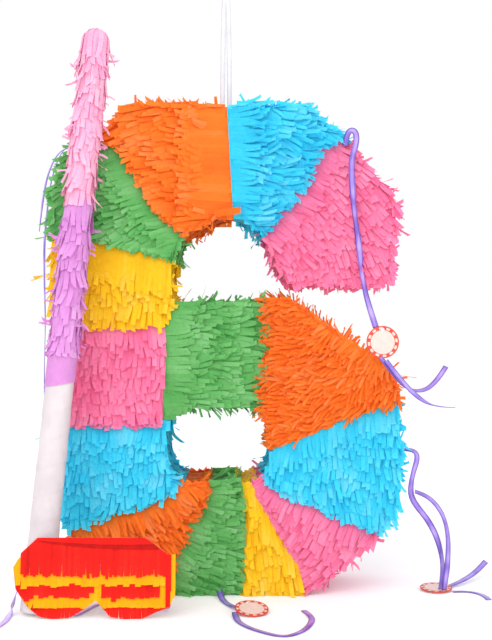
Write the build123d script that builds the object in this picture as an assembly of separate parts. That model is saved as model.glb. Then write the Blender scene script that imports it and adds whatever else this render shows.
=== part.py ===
from build123d import *
from math import atan2, cos, degrees, radians, sin, sqrt, tan
import os

# A number-six pinata that stands on its base, with the bat and the blindfold of its set in front.
# Millimetres. X is to the right, +Y to the back, +Z up, and the origin is under the middle of the
# depth, on the surface that the pinata stands on.

# ---- driving sizes of the pinata
figure_width = 297.0        # over the tissue
figure_height = 415.0
shell_depth = 70.0          # over the two card panels
card = 2.5                  # corrugated card
tissue = 4.0                # cut tissue standing off the card
counter_width = 85.0        # closed hole of the six, over the tissue
counter_height = 61.0
counter_radius = 21.0
counter_x = -8.5
counter_z = 126.5
cut_gap = 1.0               # slit round the free edges of a door
fold_gap = 0.6              # slit at a door's folded edge
clearance = 0.3             # between pieces that only lean on each other

fill_door_width = 64.0
fill_door_height = 58.0
fill_door_x = -102.0
fill_door_z = 191.0
trap_door_width = 40.0
trap_door_length = 48.0
trap_door_x = -27.0

# ---- driving sizes of the hanging loop, ribbons and tags
loop_thread = 2.0           # thickness of the hanging loop's tube
loop_spread = 6.0           # between its two strands
loop_top = 521.0
loop_x = -2.5
washer_radius = 15.0
washer_thickness = 3.0
knot_height = 6.0
knot_depth = 7.0
ribbon_thread = 2.0
tag_radius = 13.5
tag_thickness = 0.8
tag_hole_radius = 1.6

# ---- driving sizes of the bat
bat_length = 478.0
bat_tube_radius = 10.5
bat_tube_wall = 1.5
bat_tissue = 1.8
grip_length = 196.0
grip_top_thickness = 0.9
grip_foot_thickness = 2.0
bat_cap_depth = 12.0
bat_seam = 328.0            # along the bat, where lilac tissue ends and pink begins
bat_foot_x = -151.0
bat_side_lean = 5.0         # degrees towards +X, seen from the front
bat_back_lean = 6.2         # degrees towards the pinata

# ---- driving sizes of the blindfold
mask_width = 125.0
mask_height = 62.0
mask_card = 0.8
mask_tissue = 2.0
mask_left = -165.5

drawn_width = 297.0         # the outline's points below are drawn at this size
drawn_height = 415.0
stretch_x = figure_width / drawn_width
stretch_z = figure_height / drawn_height
front_y = -(shell_depth / 2 + tissue)
back_y = -front_y
inner_depth = shell_depth - 2 * card
reach = 40.0                # how far a cutting region runs past the outline


def at(x, z):
    """A drawn point of the figure, at the pinata's real size."""
    return (x * stretch_x, z * stretch_z)


def slab(sketch, y_near, y_far):
    """A sketch in X and Z, made solid from y_near back to y_far."""
    return extrude(Plane.XZ.offset(-y_near) * sketch, amount=y_near - y_far)


def block(x0, x1, y0, y1, z0, z1):
    return Pos((x0 + x1) / 2, (y0 + y1) / 2, (z0 + z1) / 2) * Box(x1 - x0, y1 - y0, z1 - z0)


def region(points):
    return make_face(Polyline(*[at(x, z) for x, z in points], close=True))


# ---- outline of the six over its tissue: x, z and corner radius, clockwise from the top left
outline = [
    (-84, 415, 20), (65, 415, 22), (98, 386, 26), (142, 334, 22), (139, 264, 6), (48, 265, 5),
    (36, 287, 14), (25, 308, 14), (0, 321, 20), (-36, 303, 18), (-47, 278, 20), (-47, 246, 4),
    (52, 251, 10), (143, 189, 24), (147, 123, 120), (143, 73, 26), (123, 45, 22), (77, 7, 16),
    (56, 0, 14), (-53, 0, 20), (-99, 13, 26), (-136, 48, 26), (-141, 90, 120), (-149, 250, 200),
    (-150, 334, 36), (-136, 375, 20), (-105, 391, 8),
]


corners = [at(x, z) for x, z, radius in outline]
corner_radii = [radius for x, z, radius in outline]
figure = make_face(FilletPolyline(*corners, radius=corner_radii, close=True))
counter_place = Pos(*at(counter_x, counter_z))
counter = counter_place * RectangleRounded(counter_width, counter_height, counter_radius)
card_figure = offset(figure, amount=-tissue)
card_counter = offset(counter, amount=tissue)
cavity_figure = offset(figure, amount=-tissue - card)
cavity_counter = offset(counter, amount=tissue + card)

# ---- seams between the tissue sections, each from inside the figure's gaps out past its edge
seam_top = [(5, 305), (-1, 411), (-2, 440)]
seam_end = [(22, 298), (64, 350), (76, 379), (110, 388), (170, 392)]
seam_shoulder = [(-25, 296), (-62, 329), (-82, 366), (-104, 388), (-125, 440)]
seam_yellow = [(-35, 281), (-89, 296), (-175, 310)]
seam_pink = [(-55, 231), (-175, 231)]
seam_blue = [(-55, 149), (-175, 146)]
seam_foot = [(-35, 104), (-55, 84), (-96, 73), (-129, 61), (-175, 46)]
seam_green = [(-17, 104), (-27, 73), (-46, 39), (-56, -20)]
seam_base = [(6, 104), (12.6, 75), (11, 20), (8, -20)]
seam_rose = [(18, 104), (27, 81), (43, 51), (60, 25), (70, -20)]
seam_right = [(24, 108), (44, 91), (84, 75), (118, 60), (175, 44)]
seam_bowl = [(25, 118), (55, 130), (84, 142), (118, 157), (175, 172)]
seam_bar = [(20, 150), (30, 157), (33.6, 198), (33.6, 233), (28, 257.5)]
mid_gap = [(-40, 257.5)]
low_gap = [(-35, 140)]

sections = {
    "orange_top": seam_shoulder + seam_top[::-1],
    "blue_top": seam_top + [(170, 440)] + seam_end[::-1],
    "pink_end": seam_end + [(170, 257.5), (22, 257.5)],
    "green_shoulder": seam_yellow + [(-175, 440)] + seam_shoulder[::-1],
    "yellow_left": seam_pink + seam_yellow[::-1] + mid_gap,
    "pink_left": seam_blue + seam_pink[::-1],
    "blue_left": seam_foot + seam_blue[::-1] + low_gap,
    "orange_foot": seam_green + [(-175, -20)] + seam_foot[::-1],
    "green_base": seam_base + seam_green[::-1],
    "yellow_base": seam_rose + seam_base[::-1],
    "pink_base": seam_right + [(175, -20)] + seam_rose[::-1],
    "blue_right": seam_bowl + seam_right[::-1],
    "orange_right": seam_bar + [(175, 257.5)] + seam_bowl[::-1],
    "green_bar": seam_bar + mid_gap + seam_pink[:1] + seam_blue[:1] + low_gap,
}

# ---- the edge band's strips meet end to end on these regions
stroke_middle = [(-60, 355), (0, 368), (60, 345), (90, 300), (125, 262)]
strips = {
    "band_left": [(-175, 440), (-60, 440), (-60, -20), (-175, -20)],
    "band_top": [(-60, 440)] + stroke_middle + [(175, 262), (175, 440)],
    "band_notch": stroke_middle + [(125, 257.5), (60, 257.5), (60, 205), (-60, 205)],
    "band_right": [(60, 257.5), (175, 257.5), (175, -20), (60, -20)],
    "band_base": [(-60, 60), (60, 60), (60, -20), (-60, -20)],
}

# ---- doors: the openings in the card and the tissue, and the folds they swing on
fill_x, fill_z = at(fill_door_x, fill_door_z)
trap_x = at(trap_door_x, 0)[0]
fill_left = fill_x - fill_door_width / 2
fill_right = fill_x + fill_door_width / 2
fill_top = fill_z + fill_door_height / 2
fill_bottom = fill_z - fill_door_height / 2
trap_left = trap_x - trap_door_width / 2
trap_right = trap_x + trap_door_width / 2
trap_front = -trap_door_length / 2
trap_back = trap_door_length / 2
fill_opening = block(fill_left - cut_gap, fill_right + cut_gap, shell_depth / 2 - card - reach / 4,
                     back_y + reach, fill_bottom - cut_gap, fill_top + fold_gap)
trap_opening = block(trap_left - cut_gap, trap_right + cut_gap, trap_front - cut_gap,
                     trap_back + fold_gap, -reach, tissue + card + reach / 4)

# ---- the hanging loop's way through the top
card_top = figure_height - tissue - card
strand_hole = loop_thread / 2 + clearance


def loop_holes(z0, z1):
    holes = []
    for side in (-1, 1):
        place = Pos(loop_x + side * loop_spread / 2, 0, (z0 + z1) / 2)
        holes.append(place * Cylinder(strand_hole, z1 - z0))
    return holes


top_holes = loop_holes(card_top - washer_thickness - reach, figure_height + reach)


def make_panels():
    sketch = card_figure - card_counter
    front = slab(sketch, -shell_depth / 2, -shell_depth / 2 + card)
    back = slab(sketch, shell_depth / 2 - card, shell_depth / 2)
    return {"front_panel": front, "back_panel": back - fill_opening}


def make_bands():
    ring = card_figure - cavity_figure
    bands = {}
    for name, points in strips.items():
        bands[name] = slab(ring & region(points), -inner_depth / 2, inner_depth / 2)
    bands["band_top"] = bands["band_top"] - top_holes
    bands["band_base"] = bands["band_base"] - trap_opening
    bands["counter_band"] = slab(cavity_counter - card_counter, -inner_depth / 2, inner_depth / 2)
    return bands


def make_tissue():
    sketch = figure - counter
    core = slab(card_figure - card_counter, -shell_depth / 2, shell_depth / 2)
    coat = slab(sketch, front_y, back_y) - core
    pieces = {}
    for name, points in sections.items():
        piece = coat & slab(region(points), front_y - reach, back_y + reach)
        pieces["tissue_" + name] = piece
    for name in ("tissue_orange_top", "tissue_blue_top"):
        pieces[name] = pieces[name] - top_holes
    pieces["tissue_pink_left"] = pieces["tissue_pink_left"] - fill_opening
    pieces["tissue_green_base"] = pieces["tissue_green_base"] - trap_opening
    return pieces


def make_doors():
    outer_skin = shell_depth / 2
    return {
        "fill_flap": block(fill_left, fill_right, outer_skin - card, outer_skin,
                           fill_bottom, fill_top),
        "fill_flap_tissue": block(fill_left, fill_right, outer_skin, back_y,
                                  fill_bottom, fill_top),
        "trap_flap": block(trap_left, trap_right, trap_front, trap_back, tissue, tissue + card),
        "trap_flap_tissue": block(trap_left, trap_right, trap_front, trap_back, 0, tissue),
    }


# ---- cords: each tube follows straight runs joined by arcs as large as its runs allow
def cord_tube(name, points, thickness):
    corners = [Vector(*point) for point in points]
    radii = []
    for before, corner, after in zip(corners, corners[1:], corners[2:]):
        turn = (corner - before).get_angle(after - corner)
        shorter_run = min((corner - before).length, (after - corner).length)
        radii.append(0.45 * shorter_run / tan(radians(turn) / 2))
    path = FilletPolyline(*corners, radius=radii)
    section = Plane(origin=path @ 0, z_dir=path % 0) * Circle(thickness / 2)
    tube = sweep(section, path=path)
    spare = tube.volume / (section.area * path.length) - 1
    print(name, "length", round(path.length, 1), "volume error", round(spare, 4),
          "radii", [round(radius, 1) for radius in radii])
    return tube


near = front_y - ribbon_thread / 2 - clearance     # a ribbon that hangs against the front
floor = ribbon_thread / 2 + 0.1                    # middle of a ribbon that lies on the ground
shift_x = figure_width - drawn_width
shift_z = figure_height - drawn_height


ribbon_routes = {
    # from under the tissue at the upper right corner, a small loop, then down to its tag
    "ribbon_upper": [
        (98.0, near - 0.5, 378), (98.5, near - 2.5, 384.5), (101.5, near - 4.5, 391),
        (106.5, near - 6, 389.5), (107.5, near - 6, 380), (103, near - 5, 366),
        (103.6, near - 4.5, 343), (105.4, near - 4.5, 318), (109.6, near - 4.5, 293),
        (112.6, near - 5, 266), (117, near - 5.5, 245), (123.3, near - 5.8, 225.6)],
    "tail_upper_1": [
        (127, near - 9, 201.5), (136, near - 9, 189), (148, near - 8, 175),
        (162.5, near - 6, 172.5), (174.5, near - 3, 181), (182.6, near, 193.2)],
    "tail_upper_2": [
        (131.5, near - 9.6, 198.5), (143, near - 11.6, 183), (156.5, near - 13, 168.5),
        (171, near - 14, 160.5), (187.5, near - 14, 160)],
    "ribbon_right_a": [
        (147.3, -30, 122.5), (153.2, -30, 122.6), (159.4, -30.5, 120.5), (160.6, -31, 114.5),
        (157.4, -31, 104), (154.8, -31, 92), (155, -31, 82), (160.5, -31, 73),
        (169.5, -31, 62), (177.5, -31, 47), (182, -30.5, 29), (182.3, -29, 12), (181, -27.6, 2.6)],
    "ribbon_right_b": [
        (157.8, -33.8, 87.5), (167, -34, 84.5), (176.5, -34, 76), (183.4, -34, 64),
        (186.4, -34, 47), (185.8, -33, 27), (184.5, -31, 11), (183.6, -29.4, 2.6)],
    "tail_right_1": [
        (190.6, -12.2, 2.3), (200.5, -4, 3.2), (213, 7, 6), (224, 20, 9.5), (233, 33.5, 13)],
    "tail_right_2": [
        (191, -26.3, floor), (201, -24.5, floor), (210.5, -29.5, floor), (216, -41, floor),
        (216, -52.5, floor)],
    # from the trap door's front edge out along the ground to its tag
    "ribbon_bottom": [
        (-7.5, near, 6.5), (-6.5, near - 5.5, 3.2), (-4.5, near - 14, floor + 0.6),
        (1, near - 30, floor), (8.5, near - 44, 3.6)],
    "tail_bottom": [
        (6.2, near - 56.6, 2.8), (7, near - 68, floor), (12, near - 84, floor),
        (24.5, near - 101, floor), (43, near - 116, floor), (57, near - 102, floor),
        (64.5, near - 82, floor), (67, near - 62, floor), (61, near - 45, floor)],
    # over the shoulder on the left, down beside the edge band
    "ribbon_left_a": [
        (-131.6, -20, 378.9), (-139.5, -20.5, 380.5), (-147.5, -21.5, 373.5), (-152.5, -22, 363.5),
        (-156.5, -22.5, 351), (-160, -23.5, 329), (-162, -24, 307.5)],
    "ribbon_left_b": [
        (-128.8, -27, 380.4), (-136.3, -27.5, 380.5), (-142.5, -28, 374.5), (-147.6, -28.3, 362.5),
        (-151.8, -29, 347), (-154.6, -29.5, 322), (-156.8, -30, 297), (-156.6, -30, 262),
        (-155.6, -29.5, 228), (-156.8, -29, 190), (-156.5, -29, 152), (-155.8, -29, 118),
        (-156, -29, 90)],
}

# which way a route shifts when the figure's width or height changes
route_side = {"ribbon_left_a": -1, "ribbon_left_b": -1, "ribbon_bottom": 0, "tail_bottom": 0}


def placed_route(name):
    side = route_side.get(name, 1)
    route = []
    for x, y, z in ribbon_routes[name]:
        route.append((x + side * shift_x / 2, y, z))
    return route


def make_ribbons():
    return {name: cord_tube(name, placed_route(name), ribbon_thread) for name in ribbon_routes}


# ---- round tags: centre, tilt about X, turn about Z
tags = {
    "tag_upper": ((128.7 + shift_x / 2, near - 7.3, 213.6), 90, 0),
    "tag_right": ((178.2 + shift_x / 2, -19, 2.2), 3, 0),
    "tag_bottom": ((19.5, near - 50, 3.6), 12, 20),
    "tag_left": ((-156 - shift_x / 2, -29, 76), 90, 62),
}


def make_tag(centre, tilt, turn):
    blank = Cylinder(tag_radius, tag_thickness)
    hole = Pos(0, tag_radius - 2 * tag_hole_radius, 0) * Cylinder(tag_hole_radius, 4 * tag_thickness)
    return Pos(*centre) * Rot(0, 0, turn) * Rot(tilt, 0, 0) * (blank - hole)


def make_hanger():
    washer_top = card_top
    washer = Pos(loop_x, 0, washer_top - washer_thickness / 2) * Cylinder(washer_radius, washer_thickness)
    for hole in loop_holes(washer_top - 2 * washer_thickness, washer_top + washer_thickness):
        washer = washer - hole
    knot_top = washer_top - washer_thickness
    knot = Pos(loop_x, 0, knot_top - knot_height / 2) * Box(loop_spread + 5, knot_depth, knot_height)
    knot = fillet(knot.edges().filter_by(Axis.Y), 2.0)
    low = knot_top
    left = loop_x - loop_spread / 2
    right = loop_x + loop_spread / 2
    top = loop_top + shift_z
    route = [(left, 0, low), (left, 0, top), (right, 0, top), (right, 0, low)]
    loop = cord_tube("hanging_loop", route, loop_thread)
    return {"hanger_washer": washer, "hanger_knot": knot, "hanging_loop": loop}


# ---- the bat stands on its foot and leans on the upper left of the pinata's front
grip_foot_radius = bat_tube_radius + grip_foot_thickness
coat_radius = bat_tube_radius + bat_tissue
lean_slope = tan(radians(bat_back_lean))
side_slope = tan(radians(bat_side_lean))
lean_height = at(0, 380)[1]
bat_axis = Vector(side_slope, lean_slope, 1).normalized()
bat_tilt = degrees(atan2(sqrt(side_slope ** 2 + lean_slope ** 2), 1))
foot_lift = grip_foot_radius * sin(radians(bat_tilt))
flat_distance = (max(coat_radius, grip_foot_radius) + clearance) / cos(radians(bat_back_lean))
bat_foot_y = front_y - flat_distance - lean_slope * (lean_height - foot_lift)
bat_plane = Plane(origin=(bat_foot_x - shift_x / 2, bat_foot_y, foot_lift), x_dir=(1, 0, -side_slope),
                  z_dir=bat_axis)


def bat_ring(outer, inner, start, end):
    ring = Circle(outer) - Circle(inner)
    return bat_plane.offset(start) * extrude(ring, amount=end - start)


def make_bat():
    tube_end = bat_length - bat_tube_radius
    inner = bat_tube_radius - bat_tube_wall
    tube = bat_ring(bat_tube_radius, inner, bat_cap_depth / 4, tube_end)
    foot = bat_plane * extrude(Circle(bat_tube_radius), amount=bat_cap_depth / 4)
    plug = bat_plane.offset(bat_cap_depth / 4) * extrude(Circle(inner), amount=bat_cap_depth)
    top_start = tube_end - bat_cap_depth
    top_plug = bat_plane.offset(top_start) * extrude(Circle(inner), amount=bat_cap_depth)
    ball = Sphere(bat_tube_radius) & (Pos(0, 0, bat_tube_radius / 2) * Box(
        3 * bat_tube_radius, 3 * bat_tube_radius, bat_tube_radius))
    dome = bat_plane.offset(tube_end) * ball
    pink_sleeve = bat_ring(coat_radius, bat_tube_radius, bat_seam, tube_end)
    hood = (Sphere(coat_radius) - Sphere(bat_tube_radius)) & (Pos(0, 0, coat_radius / 2) * Box(
        3 * coat_radius, 3 * coat_radius, coat_radius))
    pink_hood = bat_plane.offset(tube_end) * hood
    grip_outside = Cone(grip_foot_radius, bat_tube_radius + grip_top_thickness, grip_length,
                        align=(Align.CENTER, Align.CENTER, Align.MIN))
    grip_bore = Cylinder(bat_tube_radius, grip_length, align=(Align.CENTER, Align.CENTER, Align.MIN))
    return {
        "bat_tube": tube,
        "bat_cap_foot": foot + plug,
        "bat_cap_top": top_plug + dome,
        "bat_tissue_pink": pink_sleeve + pink_hood,
        "bat_tissue_lilac": bat_ring(coat_radius, bat_tube_radius, grip_length, bat_seam),
        "bat_grip": bat_plane * (grip_outside - grip_bore),
    }


# ---- the blindfold stands on its two lobes and leans on the bat's grip
mask_points = [
    (18, 62), (102, 62), (120, 49), (125, 49), (125, 18), (121, 9), (112, 6), (100, 0.4),
    (87, 0), (75, 2), (64, 14.5), (54, 7), (44, 1.2), (31, 0), (20, 2), (11, 9), (1, 24),
    (0, 40), (5, 50),
]
mask_rows = [0.0, 8.6, 17.1, 25.7, 32.7, 62.0]
mask_y = bat_foot_y - flat_distance - lean_slope * foot_lift
mask_plane = Plane(origin=(mask_left - shift_x / 2, mask_y, 0), x_dir=(1, 0, 0),
                   z_dir=(0, -1, lean_slope))


def make_mask():
    wide = mask_width / 125.0
    tall = mask_height / 62.0
    outline_face = make_face(Polyline(*[(x * wide, z * tall) for x, z in mask_points], close=True))
    pieces = {"mask_card": mask_plane * extrude(outline_face, amount=mask_card)}
    for index, (low, high) in enumerate(zip(mask_rows, mask_rows[1:])):
        window = Pos(mask_width / 2, (low + high) / 2 * tall) * Rectangle(2 * mask_width, (high - low) * tall)
        row = extrude(outline_face & window, amount=mask_tissue)
        pieces["mask_row_" + str(len(mask_rows) - 1 - index)] = mask_plane.offset(mask_card) * row
    return pieces


ties = {
    "tie_left": [
        (-162.5, mask_y + 4.1, 25), (-167, mask_y + 9, 15), (-170, mask_y + 13, 5),
        (-170.5, mask_y + 7, floor), (-169.5, mask_y - 5, floor), (-171, mask_y - 18, floor),
        (-174, mask_y - 31, floor)],
    "tie_right": [
        (-45, mask_y + 4.6, 30), (-43.5, mask_y + 11, 16), (-46, mask_y + 20, 4),
        (-55, mask_y + 33, floor), (-72, mask_y + 44, floor), (-92, mask_y + 47, floor),
        (-107, mask_y + 39, floor), (-112.5, mask_y + 22, floor), (-119, mask_y + 6, floor)],
}


def make_ties():
    pieces = {}
    for name, points in ties.items():
        route = [(x - shift_x / 2, y, z) for x, y, z in points]
        pieces[name] = cord_tube(name, route, ribbon_thread)
    return pieces


parts = {}
parts.update(make_panels())
parts.update(make_bands())
parts.update(make_tissue())
parts.update(make_doors())
parts.update(make_hanger())
parts.update(make_ribbons())
for tag_name, (tag_centre, tag_tilt, tag_turn) in tags.items():
    parts[tag_name] = make_tag(tag_centre, tag_tilt, tag_turn)
parts.update(make_bat())
parts.update(make_mask())
parts.update(make_ties())

print("bat axis", bat_axis, "bat foot", bat_foot_y, "mask y", mask_y)
os.makedirs("parts", exist_ok=True)
for name, solid in parts.items():
    export_step(solid, "parts/" + name + ".step")
print(len(parts), "nodes")
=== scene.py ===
import math

import bmesh
import bpy
import numpy as np
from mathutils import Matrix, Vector
from mathutils.bvhtree import BVHTree


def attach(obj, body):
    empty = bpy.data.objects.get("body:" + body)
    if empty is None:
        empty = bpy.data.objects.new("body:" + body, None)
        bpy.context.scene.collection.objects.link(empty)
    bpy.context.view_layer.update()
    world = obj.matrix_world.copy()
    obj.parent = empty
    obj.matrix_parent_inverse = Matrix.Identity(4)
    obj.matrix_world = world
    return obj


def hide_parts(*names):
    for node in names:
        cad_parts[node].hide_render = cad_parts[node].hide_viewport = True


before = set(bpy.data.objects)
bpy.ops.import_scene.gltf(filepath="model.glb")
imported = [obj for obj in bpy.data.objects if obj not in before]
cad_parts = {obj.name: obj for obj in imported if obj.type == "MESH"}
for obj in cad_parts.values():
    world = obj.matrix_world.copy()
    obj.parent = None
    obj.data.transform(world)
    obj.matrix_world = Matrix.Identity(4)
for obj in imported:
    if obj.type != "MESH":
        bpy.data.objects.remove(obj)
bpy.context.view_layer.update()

# Everything below is worked out in millimetres and put into the meshes in metres.
mm = 0.001
world = bpy.context.scene
rng = np.random.default_rng(41)


# A colour from its sRGB hex code.
def linear(code, alpha=1.0):
    parts = [int(code[i:i + 2], 16) / 255 for i in (1, 3, 5)]
    return [c / 12.92 if c <= 0.04045 else ((c + 0.055) / 1.055) ** 2.4 for c in parts] + [alpha]


# A node with its settings, its ramp's stops, and its inputs: a number or colour is set, and a node or
# a socket is linked. An input is named with _ for a space, or in0, in1 and so on for its number.
def addNode(tree, kind, settings=None, stops=(), **inputs):
    node = tree.nodes.new(kind)
    for name, value in (settings or {}).items():
        setattr(node, name, value)
    for name, value in inputs.items():
        socket = node.inputs[int(name[2:]) if name[2:].isdigit() else name.replace("_", " ")]
        if isinstance(value, bpy.types.Node):
            value = value.outputs[0]
        if isinstance(value, bpy.types.NodeSocket):
            tree.links.new(value, socket)
        else:
            socket.default_value = value
    if stops:
        elements = node.color_ramp.elements
        elements[0].position, elements[0].color = stops[0]
        elements[1].position, elements[1].color = stops[-1]
        for position, colour in stops[1:-1]:
            elements.new(position).color = colour
    return node


def hexStops(*stops):
    return [(position, linear(code)) for position, code in stops]


def newMaterial(name):
    material = bpy.data.materials.new(name)
    material.use_nodes = True
    material.node_tree.nodes.clear()
    return material, material.node_tree


def setUvs(mesh, name, coords):
    layer = mesh.uv_layers.new(name=name)
    corner = np.zeros(len(mesh.loops), int)
    mesh.loops.foreach_get("vertex_index", corner)
    layer.data.foreach_set("uv", coords[corner].astype(np.float32).ravel())


def finishedObject(name, mesh, material, body, replaced=()):
    piece = bpy.data.objects.new(name, mesh)
    world.collection.objects.link(piece)
    piece.data.materials.append(material)
    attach(piece, body)
    if replaced:
        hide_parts(*replaced)
    return piece


# the camera looks straight along Y, a little above the middle of the figure
view = {"place": (0.015, -0.929, 0.232), "lens": 59.6, "sensor": 36.0}
eye = bpy.data.cameras.new("viewCamera")
eye.sensor_width = view["sensor"]
eye.lens = view["lens"]
camera = bpy.data.objects.new("viewCamera", eye)
world.collection.objects.link(camera)
camera.location = view["place"]
camera.rotation_euler = (math.radians(90), 0, 0)
world.camera = camera
world.view_settings.view_transform = "Standard"
print("camera at", view["place"], "lens", view["lens"])

# curling ribbons and the hanging tape: the route points are those of the CAD tubes
near = -40.3  # just in front of the tissue
floorGap = 1.1  # a ribbon's centre above the floor it lies on
maskY = -106.03  # the foot of the blindfold
ribbonRoutes = {
    "ribbon_upper": [
        (98, near - 0.5, 378), (98.5, near - 2.5, 384.5), (101.5, near - 4.5, 391),
        (106.5, near - 6, 389.5), (107.5, near - 6, 380), (103, near - 5, 366), (103.6, near - 4.5, 343),
        (105.4, near - 4.5, 318), (109.6, near - 4.5, 293), (112.6, near - 5, 266),
        (117, near - 5.5, 245), (123.3, near - 5.8, 225.6),
    ],
    "tail_upper_1": [(127, near - 9, 201.5), (136, near - 9, 189), (148, near - 8, 175),
                     (162.5, near - 6, 172.5), (174.5, near - 3, 181), (182.6, near, 193.2)],
    "tail_upper_2": [(131.5, near - 9.6, 198.5), (143, near - 11.6, 183), (156.5, near - 13, 168.5),
                     (171, near - 14, 160.5), (187.5, near - 14, 160)],
    "ribbon_right_a": [
        (147.3, -30, 122.5), (153.2, -30, 122.6), (159.4, -30.5, 120.5), (160.6, -31, 114.5),
        (157.4, -31, 104), (154.8, -31, 92), (155, -31, 82), (160.5, -31, 73), (169.5, -31, 62),
        (177.5, -31, 47), (182, -30.5, 29), (182.3, -29, 12), (181, -27.6, 2.6),
    ],
    "ribbon_right_b": [(157.8, -33.8, 87.5), (167, -34, 84.5), (176.5, -34, 76), (183.4, -34, 64),
                       (186.4, -34, 47), (185.8, -33, 27), (184.5, -31, 11), (183.6, -29.4, 2.6)],
    "tail_right_1": [(190.6, -12.2, 2.3), (200.5, -4, 3.2), (213, 7, 6), (224, 20, 9.5), (233, 33.5, 13)],
    "tail_right_2": [(191, -26.3, floorGap), (201, -24.5, floorGap), (210.5, -29.5, floorGap),
                     (216, -41, floorGap), (216, -52.5, floorGap)],
    "ribbon_bottom": [(-7.5, near, 6.5), (-6.5, near - 5.5, 3.2), (-4.5, near - 14, floorGap + 0.6),
                      (1, near - 30, floorGap), (8.5, near - 44, 3.6)],
    "tail_bottom": [
        (6.2, near - 56.6, 2.8), (7, near - 68, floorGap), (12, near - 84, floorGap),
        (24.5, near - 101, floorGap), (43, near - 116, floorGap), (57, near - 102, floorGap),
        (64.5, near - 82, floorGap), (67, near - 62, floorGap), (61, near - 45, floorGap),
    ],
    "ribbon_left_a": [
        (-131.6, -20, 378.9), (-139.5, -20.5, 380.5), (-147.5, -21.5, 373.5), (-152.5, -22, 363.5),
        (-156.5, -22.5, 351), (-160, -23.5, 329), (-162, -24, 307.5),
    ],
    "ribbon_left_b": [
        (-128.8, -27, 380.4), (-136.3, -27.5, 380.5), (-142.5, -28, 374.5), (-147.6, -28.3, 362.5),
        (-151.8, -29, 347), (-154.6, -29.5, 322), (-156.8, -30, 297), (-156.6, -30, 262),
        (-155.6, -29.5, 228), (-156.8, -29, 190), (-156.5, -29, 152), (-155.8, -29, 118), (-156, -29, 90),
    ],
    "tie_left": [
        (-162.5, maskY + 4.1, 25), (-167, maskY + 9, 15), (-170, maskY + 13, 5),
        (-170.5, maskY + 7, floorGap), (-169.5, maskY - 5, floorGap), (-171, maskY - 18, floorGap),
        (-174, maskY - 31, floorGap),
    ],
    "tie_right": [
        (-45, maskY + 4.6, 30), (-43.5, maskY + 11, 16), (-46, maskY + 20, 4),
        (-55, maskY + 33, floorGap), (-72, maskY + 44, floorGap), (-92, maskY + 47, floorGap),
        (-107, maskY + 39, floorGap), (-112.5, maskY + 22, floorGap), (-119, maskY + 6, floorGap),
    ],
    "hanging_loop": [(-5.5, 0, 405.5), (-5.5, 0, 521), (0.5, 0, 521), (0.5, 0, 405.5)],
}
# facing gives the way that a ribbon's shiny side looks, at shares of its length
plainRibbon = {"width": 5.0, "body": "shell", "far": "bare", "lay": "loose", "tags": []}
ribbonLooks = {
    "ribbon_upper": {
        "far": "knot", "lay": "hanging", "tags": ["tag_upper"],
        "facing": [(0, -0.6, -1, 0.3), (0.2, 0.5, -1, 0.2), (0.5, -0.9, -0.8, 0), (0.75, 0.8, -0.9, 0),
                   (1, -0.2, -1, 0.1)],
    },
    "tail_upper_1": {
        "width": 4.6, "lay": "hanging",
        "facing": [(0, 0.7, -1, 0.3), (0.45, 0.2, -0.45, 1), (0.7, -0.3, -0.7, 0.7), (1, -0.6, -0.9, 0.2)],
    },
    "tail_upper_2": {
        "width": 4.6, "lay": "hanging",
        "facing": [(0, 0.6, -1, 0.3), (0.55, 0.3, -0.9, 0.6), (0.75, 0.2, -0.2, 1), (1, 0.0, 0.1, 1)],
    },
    "ribbon_right_a": {
        "far": "knot", "tags": ["tag_right"],
        "facing": [(0, 0, -0.4, 1), (0.25, 0.6, -1, 0.1), (0.5, -0.5, -1, 0.1), (0.8, 0.7, -0.9, 0.1),
                   (1, 0.1, -1, 0.3)],
    },
    "ribbon_right_b": {
        "far": "knot",
        "facing": [(0, 0.1, -0.6, 1), (0.4, 0.8, -0.9, 0.2), (0.8, 0.2, -1, 0.1), (1, 0.6, -1, 0.3)],
    },
    "tail_right_1": {"facing": [(0, 0, 0, 1), (0.6, 0.2, -0.3, 1), (1, 0.2, -0.8, 0.8)]},
    "tail_right_2": {"facing": [(0, 0, 0, 1), (1, 0, 0, 1)]},
    "ribbon_bottom": {
        "body": "trap_door", "far": "knot", "tags": ["tag_bottom"],
        "facing": [(0, 0, -1, 0.5), (0.3, 0, -0.4, 1), (1, 0, 0, 1)],
    },
    "tail_bottom": {"body": "trap_door", "facing": [(0, 0, 0, 1), (1, 0, 0, 1)]},
    "ribbon_left_a": {
        "lay": "hanging",
        "facing": [(0, 0, -0.1, 1), (0.3, -0.9, -0.5, 0.5), (0.7, -1, -0.6, 0.1), (1, -1, -0.3, 0)],
    },
    "ribbon_left_b": {
        "far": "knot", "lay": "hanging", "tags": ["tag_left"],
        "facing": [(0, 0, -0.1, 1), (0.12, -0.9, -0.4, 0.5), (0.35, -1, -0.6, 0), (0.6, -1, -0.2, 0),
                   (0.85, -1, -0.5, 0), (1, -0.8, -0.8, 0)],
    },
    "tie_left": {
        "body": "blindfold",
        "facing": [(0, -1, -0.5, 0), (0.3, -0.7, 0.3, 0.6), (0.5, 0, 0, 1), (1, 0, 0, 1)],
    },
    "tie_right": {
        "body": "blindfold",
        "facing": [(0, 1, -0.5, 0), (0.25, 0.7, 0.3, 0.6), (0.4, 0, 0, 1), (1, 0, 0, 1)],
    },
    "hanging_loop": {"width": 4.0, "far": "object", "lay": "taut", "facing": [(0, 0, -1, 0), (1, 0, -1, 0)]},
}


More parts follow.
